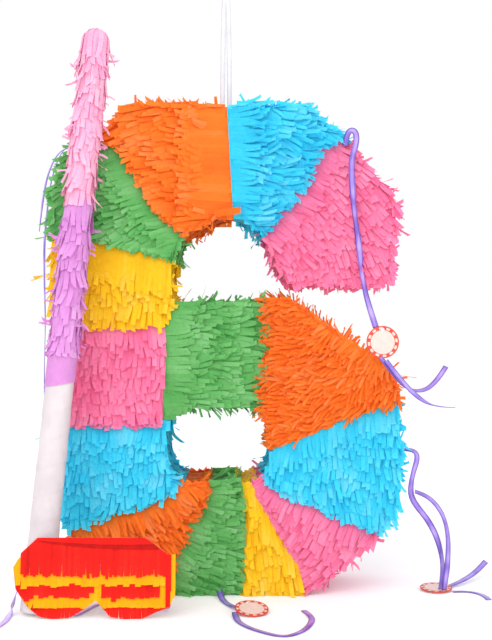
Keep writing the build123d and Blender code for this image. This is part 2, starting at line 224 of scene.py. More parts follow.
# The route's own NURBS line, as evenly spaced points in millimetres.
def smoothLine(name, points):
    curve = bpy.data.curves.new(name + "Route", "CURVE")
    curve.dimensions = "3D"
    curve.resolution_u = 24
    spline = curve.splines.new("NURBS")
    spline.points.add(len(points) - 1)
    for point, place in zip(spline.points, points):
        point.co = [c * mm for c in place] + [1.0]
    spline.order_u = 3
    spline.use_endpoint_u = True
    route = bpy.data.objects.new(name + "Route", curve)
    world.collection.objects.link(route)
    bpy.context.view_layer.update()
    mesh = bpy.data.meshes.new_from_object(route.evaluated_get(bpy.context.evaluated_depsgraph_get()))
    line = np.array([v.co for v in mesh.vertices]) / mm
    bpy.data.objects.remove(route)
    bpy.data.meshes.remove(mesh)
    steps = np.concatenate([[0], np.cumsum(np.linalg.norm(np.diff(line, axis=0), axis=1))])
    even = np.linspace(0, steps[-1], max(int(steps[-1] / 1.5), 12) + 1)
    return np.stack([np.interp(even, steps, line[:, k]) for k in range(3)], 1), steps[-1]


def unit(vectors):
    return vectors / np.maximum(np.linalg.norm(vectors, axis=-1, keepdims=True), 1e-9)


# A mesh from a grid of points in millimetres, shaped (along, around, 3), with both ends closed;
# coords are its UVs.
def gridMesh(name, grid, coords):
    rows, columns = grid.shape[:2]
    faces = []
    for i in range(rows - 1):
        for j in range(columns):
            k = (j + 1) % columns
            faces.append((i * columns + j, i * columns + k, (i + 1) * columns + k, (i + 1) * columns + j))
    faces.append(tuple(range(columns))[::-1])
    faces.append(tuple((rows - 1) * columns + j for j in range(columns)))
    mesh = bpy.data.meshes.new(name)
    mesh.from_pydata((grid.reshape(-1, 3) * mm).tolist(), [], faces)
    setUvs(mesh, "strip", coords.reshape(-1, 2))
    mesh.polygons.foreach_set("use_smooth", np.ones(len(mesh.polygons), bool))
    return mesh


# Polypropylene ribbon: fine moulded ribs along it, which also paint highlight stripes into its colour, a
# painted soft sheen, and a painted highlight down its paler middle where it cups, with painted shade towards
# its edges.
def ribbonMaterial(name, deep, mid, light):
    material, tree = newMaterial(name)
    strip = addNode(tree, "ShaderNodeUVMap", {"uv_map": "strip"})
    stretch = addNode(tree, "ShaderNodeMapping", Vector=strip, Scale=(14.0, 0.35, 1.0))
    ribsAndPaintedStripes = addNode(tree, "ShaderNodeTexNoise", Vector=stretch, Scale=1.0, Detail=3.0)
    wide = addNode(tree, "ShaderNodeMapping", Vector=strip, Scale=(0.8, 1.1, 1.0))
    paintedSheen = addNode(tree, "ShaderNodeTexNoise", Vector=wide, Scale=0.5, Detail=1.0)
    softenedPaintedSheen = addNode(tree, "ShaderNodeMath", {"operation": "MULTIPLY"}, in0=paintedSheen, in1=0.6)
    # painted highlight: stripes from the ribs and a broad painted sheen lighten and darken the colour
    paintedStripesAndSheen = addNode(tree, "ShaderNodeMath", {"operation": "MULTIPLY_ADD"}, in0=ribsAndPaintedStripes, in1=0.45, in2=softenedPaintedSheen)
    # painted highlight and shade: the colour is lighter down the ribbon's middle and darker towards its edges
    across = addNode(tree, "ShaderNodeSeparateXYZ", Vector=strip)
    squared = addNode(tree, "ShaderNodeMath", {"operation": "MULTIPLY"}, in0=across, in1=across)
    middle = addNode(tree, "ShaderNodeMath", {"operation": "MULTIPLY_ADD"}, in0=squared, in1=-4.6, in2=paintedStripesAndSheen)
    paintedShine = addNode(tree, "ShaderNodeMath", {"operation": "ADD"}, in0=middle, in1=0.14)
    # the deep stop is the ribbon's painted shade and the pale stop its painted highlight
    stops = hexStops((0.34, deep), (0.56, mid), (0.8, light))
    colour = addNode(tree, "ShaderNodeValToRGB", stops=stops, Fac=paintedShine)
    bump = addNode(tree, "ShaderNodeBump", Height=ribsAndPaintedStripes, Strength=0.25, Distance=0.0002)
    shader = addNode(tree, "ShaderNodeBsdfPrincipled", Base_Color=colour, Normal=bump, Roughness=0.28,
                     Coat_Weight=0.35, Coat_Roughness=0.2)
    addNode(tree, "ShaderNodeOutputMaterial", Surface=shader)
    return material


purpleRibbon = ribbonMaterial("purplePolypropyleneRibbon", "#4F359A", "#7A5ABE", "#BCA5EA")
lilacRibbon = ribbonMaterial("lilacPolypropyleneRibbon", "#A07FD2", "#BE9CEA", "#E0CBFA")
clearTape = ribbonMaterial("clearWhiteTape", "#BBBAC1", "#C8C7CE", "#D8D6DD")

ribbonBand = {"thick": 0.22, "cup": 0.35, "lowest": 0.15}
ribbonPieces = {}
for name, points in ribbonRoutes.items():
    look = {**plainRibbon, **ribbonLooks[name]}
    line, length = smoothLine(name, points)
    share = np.linspace(0, 1, len(line))
    keys = np.array(look["facing"], float)
    facing = np.stack([np.interp(share, keys[:, 0], keys[:, k]) for k in (1, 2, 3)], 1)
    tangent = unit(np.gradient(line, axis=0))
    facing = unit(facing - tangent * (facing * tangent).sum(1, keepdims=True))
    across = np.cross(tangent, facing)
    half = look["width"] / 2
    spread = np.array([-1.0, -0.5, 0.0, 0.5, 1.0])
    cup = ribbonBand["cup"] * (spread ** 2)
    upper = line[:, None] + across[:, None] * (half * spread)[None, :, None]
    upper = upper - facing[:, None] * cup[None, :, None]
    lower = upper[:, ::-1] - facing[:, None] * ribbonBand["thick"]
    grid = np.concatenate([upper, lower], 1)
    grid[..., 2] = np.maximum(grid[..., 2], ribbonBand["lowest"])
    u = np.concatenate([spread, spread[::-1]]) * half / 10
    coords = np.stack(np.broadcast_arrays(u[None, :], (share * length / 10)[:, None]), -1)
    material, slotName = purpleRibbon, "purple_ribbon"
    if name == "hanging_loop":
        material, slotName = clearTape, "white_tape"
    elif name.startswith("tie"):
        material, slotName = lilacRibbon, "lilac_ribbon"
    mesh = gridMesh(name + "Band", grid, coords)
    piece = finishedObject(name + "_band", mesh, material, look["body"], [name])
    ribbonPieces[name] = (piece, look, line, length)
    print("ribbon", name, round(length, 1))

# floor, white sky and two soft lights
stage = {"floor": "#F9F8F9", "glow": 0.07, "radius": 9.0, "sky": 1.0, "aim": (0, 0, 0.2)}
lamps = {
    "keyLight": {"place": (-0.55, -1.7, 1.5), "size": 1.9, "power": 24.0},
    "fillLight": {"place": (1.3, -1.2, 0.9), "size": 1.4, "power": 7.5},
}
bpy.ops.mesh.primitive_circle_add(vertices=96, radius=stage["radius"], fill_type="NGON", location=(0, 0, 0))
floor = bpy.context.object
floor.name = "floor"
paperFloor, tree = newMaterial("paleStudioPaper")
shader = addNode(tree, "ShaderNodeBsdfPrincipled", Base_Color=linear(stage["floor"]), Roughness=0.85,
                 Emission_Color=(1, 1, 1, 1), Emission_Strength=stage["glow"])
addNode(tree, "ShaderNodeOutputMaterial", Surface=shader)
floor.data.materials.append(paperFloor)
sky = bpy.data.worlds.new("studioSky")
sky.use_nodes = True
sky.node_tree.nodes["Background"].inputs["Color"].default_value = (1, 1, 1, 1)
sky.node_tree.nodes["Background"].inputs["Strength"].default_value = stage["sky"]
world.world = sky
for name, look in lamps.items():
    lamp = bpy.data.lights.new(name, "AREA")
    lamp.size = look["size"]
    lamp.energy = look["power"]
    lampPiece = bpy.data.objects.new(name, lamp)
    world.collection.objects.link(lampPiece)
    lampPiece.location = look["place"]
    aim = Vector(stage["aim"]) - Vector(look["place"])
    lampPiece.rotation_euler = aim.to_track_quat("-Z", "Y").to_euler()
print("floor and", len(lamps), "lights")


# Thin dyed tissue: crepe grain along each strip, soft mottling, folds, and light through the sheet.
def tissueMaterial(name, pale, mid, deep, glow=0.3):
    material, tree = newMaterial(name)
    place = addNode(tree, "ShaderNodeTexCoord").outputs["Object"]
    # the strips' tone attribute carries their own tone together with painted shade at their roots, on the
    # flat sheet between them and in the blindfold's crease
    tone = addNode(tree, "ShaderNodeAttribute", {"attribute_name": "tone"}).outputs["Fac"]
    strip = addNode(tree, "ShaderNodeUVMap", {"uv_map": "strip"})
    stretch = addNode(tree, "ShaderNodeMapping", Vector=strip, Scale=(26.0, 5.0, 1.0))
    grain = addNode(tree, "ShaderNodeTexNoise", Vector=stretch, Scale=1.0, Detail=4.0, Roughness=0.65)
    mottle = addNode(tree, "ShaderNodeTexNoise", Vector=place, Scale=46.0, Detail=3.0, Roughness=0.6)
    fibre = addNode(tree, "ShaderNodeTexNoise", Vector=place, Scale=900.0, Detail=2.0)
    folds = addNode(tree, "ShaderNodeTexNoise", Vector=place, Scale=170.0, Detail=6.0, Roughness=0.55,
                    Distortion=0.6)
    small = addNode(tree, "ShaderNodeMath", {"operation": "MULTIPLY"}, in0=mottle, in1=0.38)
    blend = addNode(tree, "ShaderNodeMath", {"operation": "MULTIPLY_ADD"}, in0=tone, in1=0.62, in2=small)
    stops = hexStops((0.12, deep), (0.5, mid), (0.88, pale))
    colour = addNode(tree, "ShaderNodeValToRGB", stops=stops, Fac=blend)
    creases = addNode(tree, "ShaderNodeBump", Height=grain, Strength=0.5, Distance=0.0005)
    crumple = addNode(tree, "ShaderNodeBump", Height=folds, Normal=creases, Strength=0.8, Distance=0.0022)
    nap = addNode(tree, "ShaderNodeBump", Height=fibre, Normal=crumple, Strength=0.22, Distance=0.0002)
    shader = addNode(tree, "ShaderNodeBsdfPrincipled", Base_Color=colour, Normal=nap, Roughness=0.72,
                     Specular_IOR_Level=0.2, Sheen_Weight=0.06)
    through = addNode(tree, "ShaderNodeBsdfTranslucent", Color=colour, Normal=nap)
    both = addNode(tree, "ShaderNodeMixShader", Fac=glow, in1=shader, in2=through)
    addNode(tree, "ShaderNodeOutputMaterial", Surface=both)
    return material


tissues = {
    "orange": tissueMaterial("orangeTissue", "#FF9C5C", "#FF8428", "#F9651A"),
    "blue": tissueMaterial("blueTissue", "#7DE6FC", "#40DAF8", "#1DBDE8"),
    "pink": tissueMaterial("pinkTissue", "#FFA3C6", "#FD86B2", "#F26398"),
    "green": tissueMaterial("greenTissue", "#99D893", "#70C06C", "#4BA74E"),
    "yellow": tissueMaterial("yellowTissue", "#FFDD5E", "#FFD01F", "#F8B90F"),
}

# How loose and crumpled the strips are: base is their height over the card, slope and lift raise them,
# mess turns them, crumple and taper shape them, and a share stray rises by up to rise.
makeups = {
    "calm": {"base": 0.9, "slope": 0.085, "lift": 1.6, "mess": 0.8, "crumple": 0.16, "taper": 0.04,
             "stray": 0.03, "rise": 7.0},
    "plain": {"base": 0.9, "slope": 0.09, "lift": 1.9, "mess": 0.95, "crumple": 0.2, "taper": 0.05,
              "stray": 0.05, "rise": 9.0},
    "ruffled": {"base": 0.9, "slope": 0.1, "lift": 3.2, "mess": 1.9, "crumple": 0.36, "taper": 0.12,
                "stray": 0.1, "rise": 11.0},
    "pointed": {"base": 0.9, "slope": 0.1, "lift": 2.8, "mess": 2.2, "crumple": 0.26, "taper": 0.32,
                "stray": 0.09, "rise": 9.0},
}

# waves that give neighbouring strips a common sway, one set for each way that they move
rippleWays = unit(rng.normal(size=(5, 9, 3)))
ripplePhases = rng.uniform(0, 2 * math.pi, (5, 9))
rippleSizes = rng.uniform(0.6, 1.5, (5, 9))


# Smooth noise of about unit size, whose swells are about size millimetres long.
def ripple(places, size, kind):
    swells = places @ (rippleWays[kind] / rippleSizes[kind][:, None]).T * (2 * math.pi / size)
    return np.sin(swells + ripplePhases[kind]).sum(-1) * math.sqrt(2 / 9)


# Paper strips along given lines. line, normal and side are (strips, stations, 3); the first flat
# millimetres stay glued, and the rest lifts, turns, rolls and crumples. Neighbours in a row move alike.
# A strip lifts by its share still, and its tip is held proud millimetres higher.
def makeStrips(line, normal, side, length, flat, width, look, still=1.0, proud=0.0):
    count, stations = line.shape[:2]
    way = unit(line[:, 1] - line[:, 0])
    spot = line[:, 0] + way * (line[:, 0] * way).sum(1, keepdims=True) * 4.0
    along = np.linspace(0, 1, stations) * length[:, None]
    loose = np.maximum(length - flat, 1.0)
    free = np.clip((along - flat[:, None]) / loose[:, None], 0, 1)
    mess = look["mess"]
    yaw = mess * (0.075 * ripple(spot, 42, 0) + rng.normal(0, 0.04, count))[:, None]
    bend = mess * (0.09 * ripple(spot, 33, 1) + rng.normal(0, 0.05, count))[:, None]
    stray = rng.random(count) < look["stray"]
    lift = look["lift"] * np.exp(look.get("gust", 0.55) * ripple(spot, 27, 2)) * rng.uniform(0.7, 1.25, count)
    lift = lift + np.where(stray, rng.uniform(0.4, 1.0, count) * look["rise"], 0)
    power = rng.uniform(1.4, 2.4, count)[:, None]
    roll = mess * (0.13 * ripple(spot, 24, 3) + rng.normal(0, 0.13, count))
    roll = (roll + (stray * 0.8 + look.get("twist", 0.0)) * rng.normal(0, 1.0, count))[:, None]
    cup = (rng.normal(0, 0.07 * mess, count) * width)[:, None]
    level = rng.uniform(0, 0.12, count)[:, None]
    sideways = loose[:, None] * (yaw * free + bend * free ** 2)
    still, proud = [np.broadcast_to(np.asarray(v, float), count)[:, None] for v in (still, proud)]
    height = look["base"] + level + still * (look["slope"] * along + lift[:, None] * free ** power)
    height = height + proud * free
    x, y, z = line[..., 0], line[..., 1], line[..., 2]
    height = height + 0.35 * np.sin(x * 0.13 + z * 0.05) * np.sin(z * 0.12 + y * 0.1)
    angle = roll * free ** 1.2
    centre = line + side * sideways[..., None] + normal * height[..., None]
    across = side * np.cos(angle)[..., None] + normal * np.sin(angle)[..., None]
    half = (width[:, None] / 2) * (1 - look["taper"] * free ** 1.5)
    middle = centre + normal * (cup * free)[..., None]
    points = np.stack([centre - across * half[..., None], middle, centre + across * half[..., None]], 2)
    tipWay = unit(line[:, -1] - line[:, -2])
    skew = rng.normal(0, look.get("skew", 0.14), count) * width
    points[:, -1, 0] += tipWay * skew[:, None]
    points[:, -1, 2] -= tipWay * skew[:, None]
    dents = rng.normal(0, look["crumple"], (count, stations, 3)) * (0.05 + free)[..., None]
    points += normal[:, :, None] * dents[..., None]
    loosened = mess > 0
    tone = look.get("shade", 0.12) * ripple(spot, 30, 4) * loosened + rng.normal(0, 0.07, count) * loosened
    tone = look.get("tone", 0.5) + tone
    # painted shade and light: a loose strip's tone is darker at its glued root, under the row above, and
    # paler towards its free tip
    tone = np.clip(tone[:, None] + 0.16 * (free - 0.4) * loosened, 0.0, 1.0)
    tone = np.broadcast_to(tone[..., None], (count, stations, 3))
    u = width[:, None, None] * np.array([-0.5, 0, 0.5]) / 10 + rng.uniform(0, 40, count)[:, None, None]
    v = along[..., None] / 10 + rng.uniform(0, 40, count)[:, None, None]
    coords = np.stack(np.broadcast_arrays(u, v), -1)
    corner = (np.arange(stations - 1)[:, None] * 3 + np.arange(2)).ravel()
    quads = np.stack([corner, corner + 1, corner + 4, corner + 3], 1)
    faces = quads[None] + (np.arange(count) * stations * 3)[:, None, None]
    return points.reshape(-1, 3), faces.reshape(-1, 4), tone.reshape(-1), coords.reshape(-1, 2)


# single torn strips that stand away from the rest
whisker = {"base": 0.0, "slope": 0.0, "lift": 0.0, "mess": 2.2, "crumple": 0.35, "taper": 0.1,
           "stray": 0.0, "rise": 0.0, "tone": 0.3}


# Roots and directions are (strips, 3).
def whiskers(roots, outward, onward, length, width):
    count = len(roots)
    way = unit(outward + onward * rng.normal(0.35, 0.5, count)[:, None])
    size = length * rng.uniform(0.5, 1.15, count)
    along = np.linspace(0, 1, 6) * size[:, None]
    side = unit(np.cross(way, np.array([0.25, 1.0, 0.2])) + rng.normal(0, 0.5, (count, 3)))
    side = unit(side - way * (side * way).sum(1, keepdims=True))
    normal = np.cross(side, way)
    line = roots[:, None] + way[:, None] * along[..., None]
    line = line + normal[:, None] * (rng.normal(0, 1.6, count)[:, None] * (along / length) ** 2)[..., None]
    normal, side = [np.broadcast_to(v[:, None], line.shape) for v in (normal, side)]
    widths = np.full(count, width) * rng.uniform(0.6, 1.5, count)
    return makeStrips(line, normal, side, size, size * 0.1, widths, whisker)


# One set of points, faces, tones and UVs from several.
def joined(parts):
    points, faces, tones, coords, start = [], [], [], [], 0
    for p, f, t, c in parts:
        points.append(p)
        faces.append(f + start)
        tones.append(t)
        coords.append(c)
        start += len(p)
    return np.concatenate(points), np.concatenate(faces), np.concatenate(tones), np.concatenate(coords)


# Strips stay above the floor, and are pressed together past a plane behind the figure.
paperLimits = {"floor": 0.25, "back": 46.5, "squeeze": 0.4}


def paperMesh(name, points, faces, tones, coords):
    lowest, back = paperLimits["floor"], paperLimits["back"]
    points = points.copy()
    deep = points[:, 1]
    points[:, 1] = np.where(deep > back, back + paperLimits["squeeze"] * (deep - back), deep)
    points[:, 2] = np.where(points[:, 2] < lowest, lowest + 0.1 * rng.random(len(points)), points[:, 2])
    mesh = bpy.data.meshes.new(name)
    mesh.vertices.add(len(points))
    mesh.vertices.foreach_set("co", (points * mm).astype(np.float32).ravel())
    mesh.loops.add(faces.size)
    mesh.loops.foreach_set("vertex_index", faces.astype(np.int32).ravel())
    mesh.polygons.add(len(faces))
    mesh.polygons.foreach_set("loop_start", np.arange(0, faces.size, 4, dtype=np.int32))
    mesh.polygons.foreach_set("use_smooth", np.ones(len(faces), bool))
    layer = mesh.uv_layers.new(name="strip")
    layer.data.foreach_set("uv", coords[faces.ravel()].astype(np.float32).ravel())
    mesh.update()
    mesh.validate()
    attribute = mesh.attributes.new("tone", "FLOAT", "POINT")
    attribute.data.foreach_set("value", tones.astype(np.float32))
    return mesh


# where each colour lies, read from the CAD tissue
sections = sorted(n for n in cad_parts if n.startswith("tissue_")) + ["fill_flap_tissue"]
sectionOf = {n: i for i, n in enumerate(sections)}
allPoints, allFaces, faceSection = [], [], []
for index, node in enumerate(sections):
    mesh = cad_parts[node].data
    start = len(allPoints)
    allPoints += [v.co / mm for v in mesh.vertices]
    for polygon in mesh.polygons:
        allFaces.append([start + k for k in polygon.vertices])
        faceSection.append(index)
tissueTree = BVHTree.FromPolygons(allPoints, allFaces)
mapX, mapZ, mapWide, mapHigh = -162, -4, 324, 426
cardFace = 35.0  # the card's front and back, from the middle of the figure


# Which section is on the front (side -1) or the back (side 1), at each millimetre of X and Z.
def ownerMap(side):
    found = np.full((mapWide, mapHigh), -1, int)
    way = Vector((0, -side, 0))
    for i in range(mapWide):
        for j in range(mapHigh):
            above = (mapX + i + 0.5, side * 60, mapZ + j + 0.5)
            place, normal, face, distance = tissueTree.ray_cast(above, way, 24)
            if face is not None and abs(place[1]) > 38:
                found[i, j] = faceSection[face]
    return found


owners = {-1: ownerMap(-1), 1: ownerMap(1)}
print("sections mapped", len(sections))


def ownerAt(side, x, z):
    table = owners[side]
    i = np.clip(np.floor(x - mapX).astype(int), 0, mapWide - 1)
    j = np.clip(np.floor(z - mapZ).astype(int), 0, mapHigh - 1)
    return table[i, j]


# the way the strips of each section point, and how they are cut
def straight(degrees):
    a = math.radians(degrees)
    return lambda x, z: (np.full_like(x, math.cos(a)), np.full_like(x, math.sin(a)))


def around(cx, cz, turn):
    def field(x, z):
        rx, rz = x - cx, z - cz
        size = np.maximum(np.hypot(rx, rz), 1e-6)
        return -turn * rz / size, turn * rx / size
    return field


def swirl(x, z):
    a = np.radians(np.clip(182 + 70 * (x - 58) / 82, 180, 255))
    return np.cos(a), np.sin(a)


# Lengths are in millimetres: row is the step from one row to the next, band the flat part of the first
# row, and lap how far the last row goes over its neighbour.
sectionLooks = {
    "tissue_orange_top": {"paper": "orange", "centre": (-5, 150), "turn": 1, "row": 10.0, "width": 3.9,
                          "length": 20.0, "band": 24.0, "lap": 5.0, "look": "plain"},
    "tissue_blue_top": {"paper": "blue", "centre": (-5, 150), "turn": -1, "row": 9.0, "width": 3.7,
                        "length": 20.0, "band": 7.0, "look": "ruffled"},
    "tissue_pink_end": {"paper": "pink", "centre": (-5, 250), "turn": -1, "row": 9.0, "width": 3.7,
                        "length": 19.0, "band": 5.0, "look": "plain"},
    "tissue_green_shoulder": {"paper": "green", "centre": (-5, 150), "turn": 1, "row": 10.0, "width": 3.7,
                              "length": 20.0, "band": 5.0, "look": "plain"},
    "tissue_yellow_left": {"paper": "yellow", "angle": 268, "row": 11.0, "width": 3.9, "length": 21.0,
                           "band": 16.0, "look": "calm"},
    "tissue_pink_left": {"paper": "pink", "angle": 271, "row": 10.0, "width": 3.9, "length": 19.0,
                         "band": 4.0, "look": "plain"},
    "tissue_blue_left": {"paper": "blue", "angle": 269, "row": 9.5, "width": 3.9, "length": 18.0,
                         "band": 4.0, "look": "plain"},
    "tissue_orange_foot": {"paper": "orange", "centre": (-8.5, 126.5), "turn": 1, "row": 10.0,
                           "width": 3.5, "length": 20.0, "band": 6.0, "look": "pointed"},
    "tissue_green_base": {"paper": "green", "centre": (-8.5, 150.0), "turn": 1, "row": 9.0, "width": 3.7,
                          "length": 19.0, "band": 4.0, "lap": 2.0, "look": "plain"},
    "tissue_yellow_base": {"paper": "yellow", "angle": 280, "row": 11.0, "width": 3.7, "length": 20.0,
                           "band": 9.0, "lap": 0.5, "look": "calm"},
    "tissue_pink_base": {"paper": "pink", "centre": (-8.5, 126.5), "turn": -1, "row": 9.5, "width": 3.9,
                         "length": 19.0, "band": 4.0, "lap": 0.5, "look": "plain"},
    "tissue_blue_right": {"paper": "blue", "angle": 270, "row": 9.5, "width": 3.7, "length": 19.0,
                          "band": 4.0, "look": "plain"},
    "tissue_orange_right": {"paper": "orange", "field": swirl, "row": 6.2, "width": 3.0, "length": 14.5,
                            "band": 3.0, "look": "pointed"},
    "tissue_green_bar": {"paper": "green", "angle": 0, "row": 9.5, "width": 3.7, "length": 19.0,
                         "band": 6.0, "lap": 0.5, "look": "plain"},
    "fill_flap_tissue": {"paper": "pink", "angle": 270, "row": 10.0, "width": 3.9, "length": 16.0,
                         "band": 4.0, "look": "calm"},
}
for look in sectionLooks.values():
    if "centre" in look:
        look["field"] = around(*look["centre"], look["turn"])
    elif "angle" in look:
        look["field"] = straight(look["angle"])


# Where the strips of one section are glued on its front or back: rows across the strips' way.
def sectionRoots(look, side, index):
    i, j = np.nonzero(owners[side] == index)
    if not len(i):
        return np.zeros((0, 2)), np.zeros(0)
    x0, x1, z0, z1 = i.min() + mapX, i.max() + mapX + 1, j.min() + mapZ, j.max() + mapZ + 1
    row, width = look["row"], look["width"] * 0.96
    if "centre" in look:
        cx, cz = look["centre"]
        corners = np.array([(x0, z0), (x0, z1), (x1, z0), (x1, z1)], float) - (cx, cz)
        reach = np.hypot(corners[:, 0], corners[:, 1]).max()
        cells = np.hypot(i + mapX + 0.5 - cx, j + mapZ + 0.5 - cz)
        inner, middle = cells.min(), np.median(cells)
        radii = np.arange(inner, reach + width, width)
        angles = np.arange(0, 2 * math.pi, row / middle)
        a, r = [g.ravel() for g in np.meshgrid(angles, radii, indexing="ij")]
        a = a + rng.normal(0, 0.08, len(a)) * row / middle
        places = np.stack([cx + r * np.cos(a), cz + r * np.sin(a)], 1)
    else:
        dx, dz = look["field"](np.array([(x0 + x1) / 2.0]), np.array([(z0 + z1) / 2.0]))
        d = np.array([dx[0], dz[0]])
        t = np.array([-d[1], d[0]])
        corners = np.array([(x0, z0), (x0, z1), (x1, z0), (x1, z1)], float)
        ahead, beside = corners @ d, corners @ t
        f, g = [m.ravel() for m in np.meshgrid(np.arange(ahead.min() - row, ahead.max() + row, row),
                                               np.arange(beside.min(), beside.max() + width, width),
                                               indexing="ij")]
        f = f + rng.normal(0, 0.08 * row, len(f))
        places = f[:, None] * d + g[:, None] * t
    dx, dz = look["field"](places[:, 0], places[:, 1])
    found = ownerAt(side, places[:, 0], places[:, 1]) == index
    for share in (0.2, 0.4, 0.6, 0.8):
        ahead = places + np.stack([dx, dz], 1) * row * share
        enters = ~found & (ownerAt(side, ahead[:, 0], ahead[:, 1]) == index)
        places = np.where(enters[:, None], ahead, places)
        found |= enters
    places = places[found]
    dx, dz = look["field"](places[:, 0], places[:, 1])
    first = ownerAt(side, places[:, 0] - 0.75 * row * dx, places[:, 1] - 0.75 * row * dz) != index
    return places, first


# Strips stop soon after the outline, and at the edge of a door.
def trimmed(side, index, places, dx, dz, length, door):
    length = length.copy()
    over = rng.gamma(2.0, 1.5, len(length))
    lap = sectionLooks[sections[index]].get("lap", 6.0) * rng.normal(1, 0.3, len(length))
    going = np.ones(len(length), bool)
    still, proud = np.ones(len(length)), np.zeros(len(length))
    for s in np.arange(1.0, 46.0, 1.0):
        owner = ownerAt(side, places[:, 0] + dx * s, places[:, 1] + dz * s)
        if index == door:
            stop = going & (owner != door)
            length = np.where(stop, np.minimum(length, s + 1.0), length)
        else:
            stop = going & ((owner != index) | (owner == door))
            limit = np.where(owner == door, s - 2.4, np.where(owner == -1, s + over, s + lap))
            still = np.where(stop & (owner == door) & (s < length + 8.0), 0.25, still)
            length = np.where(stop, np.minimum(length, limit), length)
            met = stop & (owner != -1) & (s < length + 1.0)
            still = np.where(met & (lap < 2.0) & (owner != door), 0.3, still)
            proud = np.where(met & (lap >= 2.0) & (owner != door), 1.5, proud)
        going &= ~stop
    return length, still, proud


def faceStrips(node, side):
    look = sectionLooks[node]
    index = sectionOf[node]
    places, first = sectionRoots(look, side, index)
    if not len(places):
        return None
    count = len(places)
    dx, dz = look["field"](places[:, 0], places[:, 1])
    flat = np.where(first, look["band"] * rng.normal(1, 0.03, count), look["row"] * 0.35)
    length = flat + look["length"] * rng.normal(0.85, 0.13, count)
    length, still, proud = trimmed(side, index, places, dx, dz, length, sectionOf["fill_flap_tissue"])
    keep = length > 4.0
    places, dx, dz, flat = [a[keep] for a in (places, dx, dz, np.minimum(flat, length * 0.8))]
    length, still, proud = [a[keep] for a in (length, still, proud)]
    count = len(places)
    stations = 7
    along = np.linspace(0, 1, stations) * length[:, None]
    way = np.stack([dx, np.zeros(count), dz], 1)
    normal = np.broadcast_to(np.array([0.0, side, 0.0]), (count, stations, 3))
    aside = np.stack([-dz, np.zeros(count), dx], 1)
    root = np.stack([places[:, 0], np.full(count, side * cardFace), places[:, 1]], 1)
    line = root[:, None] + way[:, None] * along[..., None]
    aside = np.broadcast_to(aside[:, None], line.shape)
    widths = np.full(count, look["width"]) * rng.normal(1, 0.06, count)
    return makeStrips(line, normal, aside, length, flat, widths, makeups[look["look"]], still, proud)


# outline loops, read from the CAD tissue's front edge
segments = []
for node in sections[:-1]:
    edit = bmesh.new()
    edit.from_mesh(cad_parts[node].data)
    bmesh.ops.remove_doubles(edit, verts=edit.verts, dist=1e-5)
    for edge in edit.edges:
        if len(edge.link_faces) != 2 or max(v.co.y for v in edge.verts) > -0.0385:
            continue
        a, b = sorted(edge.link_faces, key=lambda f: -abs(f.normal.y))
        if a.normal.y > -0.9 or abs(b.normal.y) > 0.1:
            continue
        p, q = [np.array((v.co.x, v.co.z)) / mm for v in edge.verts]
        out = np.array((b.normal.x, b.normal.z))
        beyond = (p + q) / 2 + out * 2.0
        if ownerAt(-1, beyond[:1], beyond[1:])[0] != -1:
            continue
        if (q - p) @ np.array((out[1], -out[0])) < 0:
            p, q = q, p
        segments.append((p, q, out, sectionOf[node]))
    edit.free()

loops = []
left = list(segments)
while left:
    chain = [left.pop(0)]
    while left:
        gaps = [np.abs(s[0] - chain[-1][1]).sum() for s in left]
        best = int(np.argmin(gaps))
        if gaps[best] > 1.0:
            break
        chain.append(left.pop(best))
    if len(chain) < 8:
        continue
    starts = np.array([s[0] for s in chain])
    sizes = np.array([np.linalg.norm(s[1] - s[0]) for s in chain])
    total = sizes.sum()
    ends = np.concatenate([[0], np.cumsum(sizes)])
    count = int(total)
    where = (np.arange(count) + 0.5) * total / count
    piece = np.clip(np.searchsorted(ends, where) - 1, 0, len(chain) - 1)
    share = ((where - ends[piece]) / np.maximum(sizes[piece], 1e-9))[:, None]
    finish = np.array([s[1] for s in chain])
    points = starts[piece] * (1 - share) + finish[piece] * share
    normals = np.array([s[2] for s in chain])[piece]
    wide = np.stack([sum(np.roll(normals[:, k], s) for s in range(-3, 4)) for k in (0, 1)], 1)
    loops.append({"step": total / count, "points": points, "normals": unit(wide),
                  "owner": np.array([s[3] for s in chain])[piece]})
print("outline loops", [(len(l["points"]), round(l["step"] * len(l["points"]))) for l in loops])


# Points and outward normals of a loop at any distances along it.
def onLoop(loop, where):
    count = len(loop["points"])
    f = (where / loop["step"]) % count
    i = np.floor(f).astype(int) % count
    k = (i + 1) % count
    s = (f - np.floor(f))[..., None]
    place = loop["points"][i] * (1 - s) + loop["points"][k] * s
    return place, unit(loop["normals"][i] * (1 - s) + loop["normals"][k] * s)


trapDoor = {"x0": -47.0, "x1": -7.0, "y": 24.0}


def onTrap(x, y, z):
    return (x > trapDoor["x0"]) & (x < trapDoor["x1"]) & (np.abs(y) < trapDoor["y"]) & (z < 8)


# strips round the edge stand up in tufts
edgeMess = {"gust": 1.1, "twist": 0.35, "stray": 0.13, "rise": 8.0, "slope": 0.03, "lift": 0.8}


# Where the rows of one section start on the edge: distances along the loop, and depths along Y. Strips
# run along the loop (turn 1 or -1), or straight back across the edge (turn 0).
def edgeRoots(loop, look, mine, forward, turn, rim):
    slope = dict(zip(mine, forward))
    rows = mine[::max(int(round(look["row"] / loop["step"] * (0.8 if rim == 0 else 0.5))), 1)]
    picked = [r for r in rows if (slope[r] * turn > 0.3 if turn else abs(slope[r]) <= 0.3)]
    if not len(picked) or (turn == 0 and rim):
        return None
    depths = np.array([rim * (cardFace + 0.6)])
    if rim == 0:
        depths = np.arange(-cardFace, cardFace + 0.1, look["width"] * 0.97)
    if turn == 0:
        picked = [r for r in mine[::max(int(round(look["width"] / loop["step"])), 1)] if abs(slope[r]) <= 0.3]
        depths = np.arange(-36.0, 30.0, look["row"])
    if not len(picked):
        return None
    r, y = [g.ravel() for g in np.meshgrid(np.array(picked), depths, indexing="ij")]
    y = y + rng.normal(0, 0.5, len(r))
    return r * loop["step"] + rng.normal(0, 1.2, len(r)), y


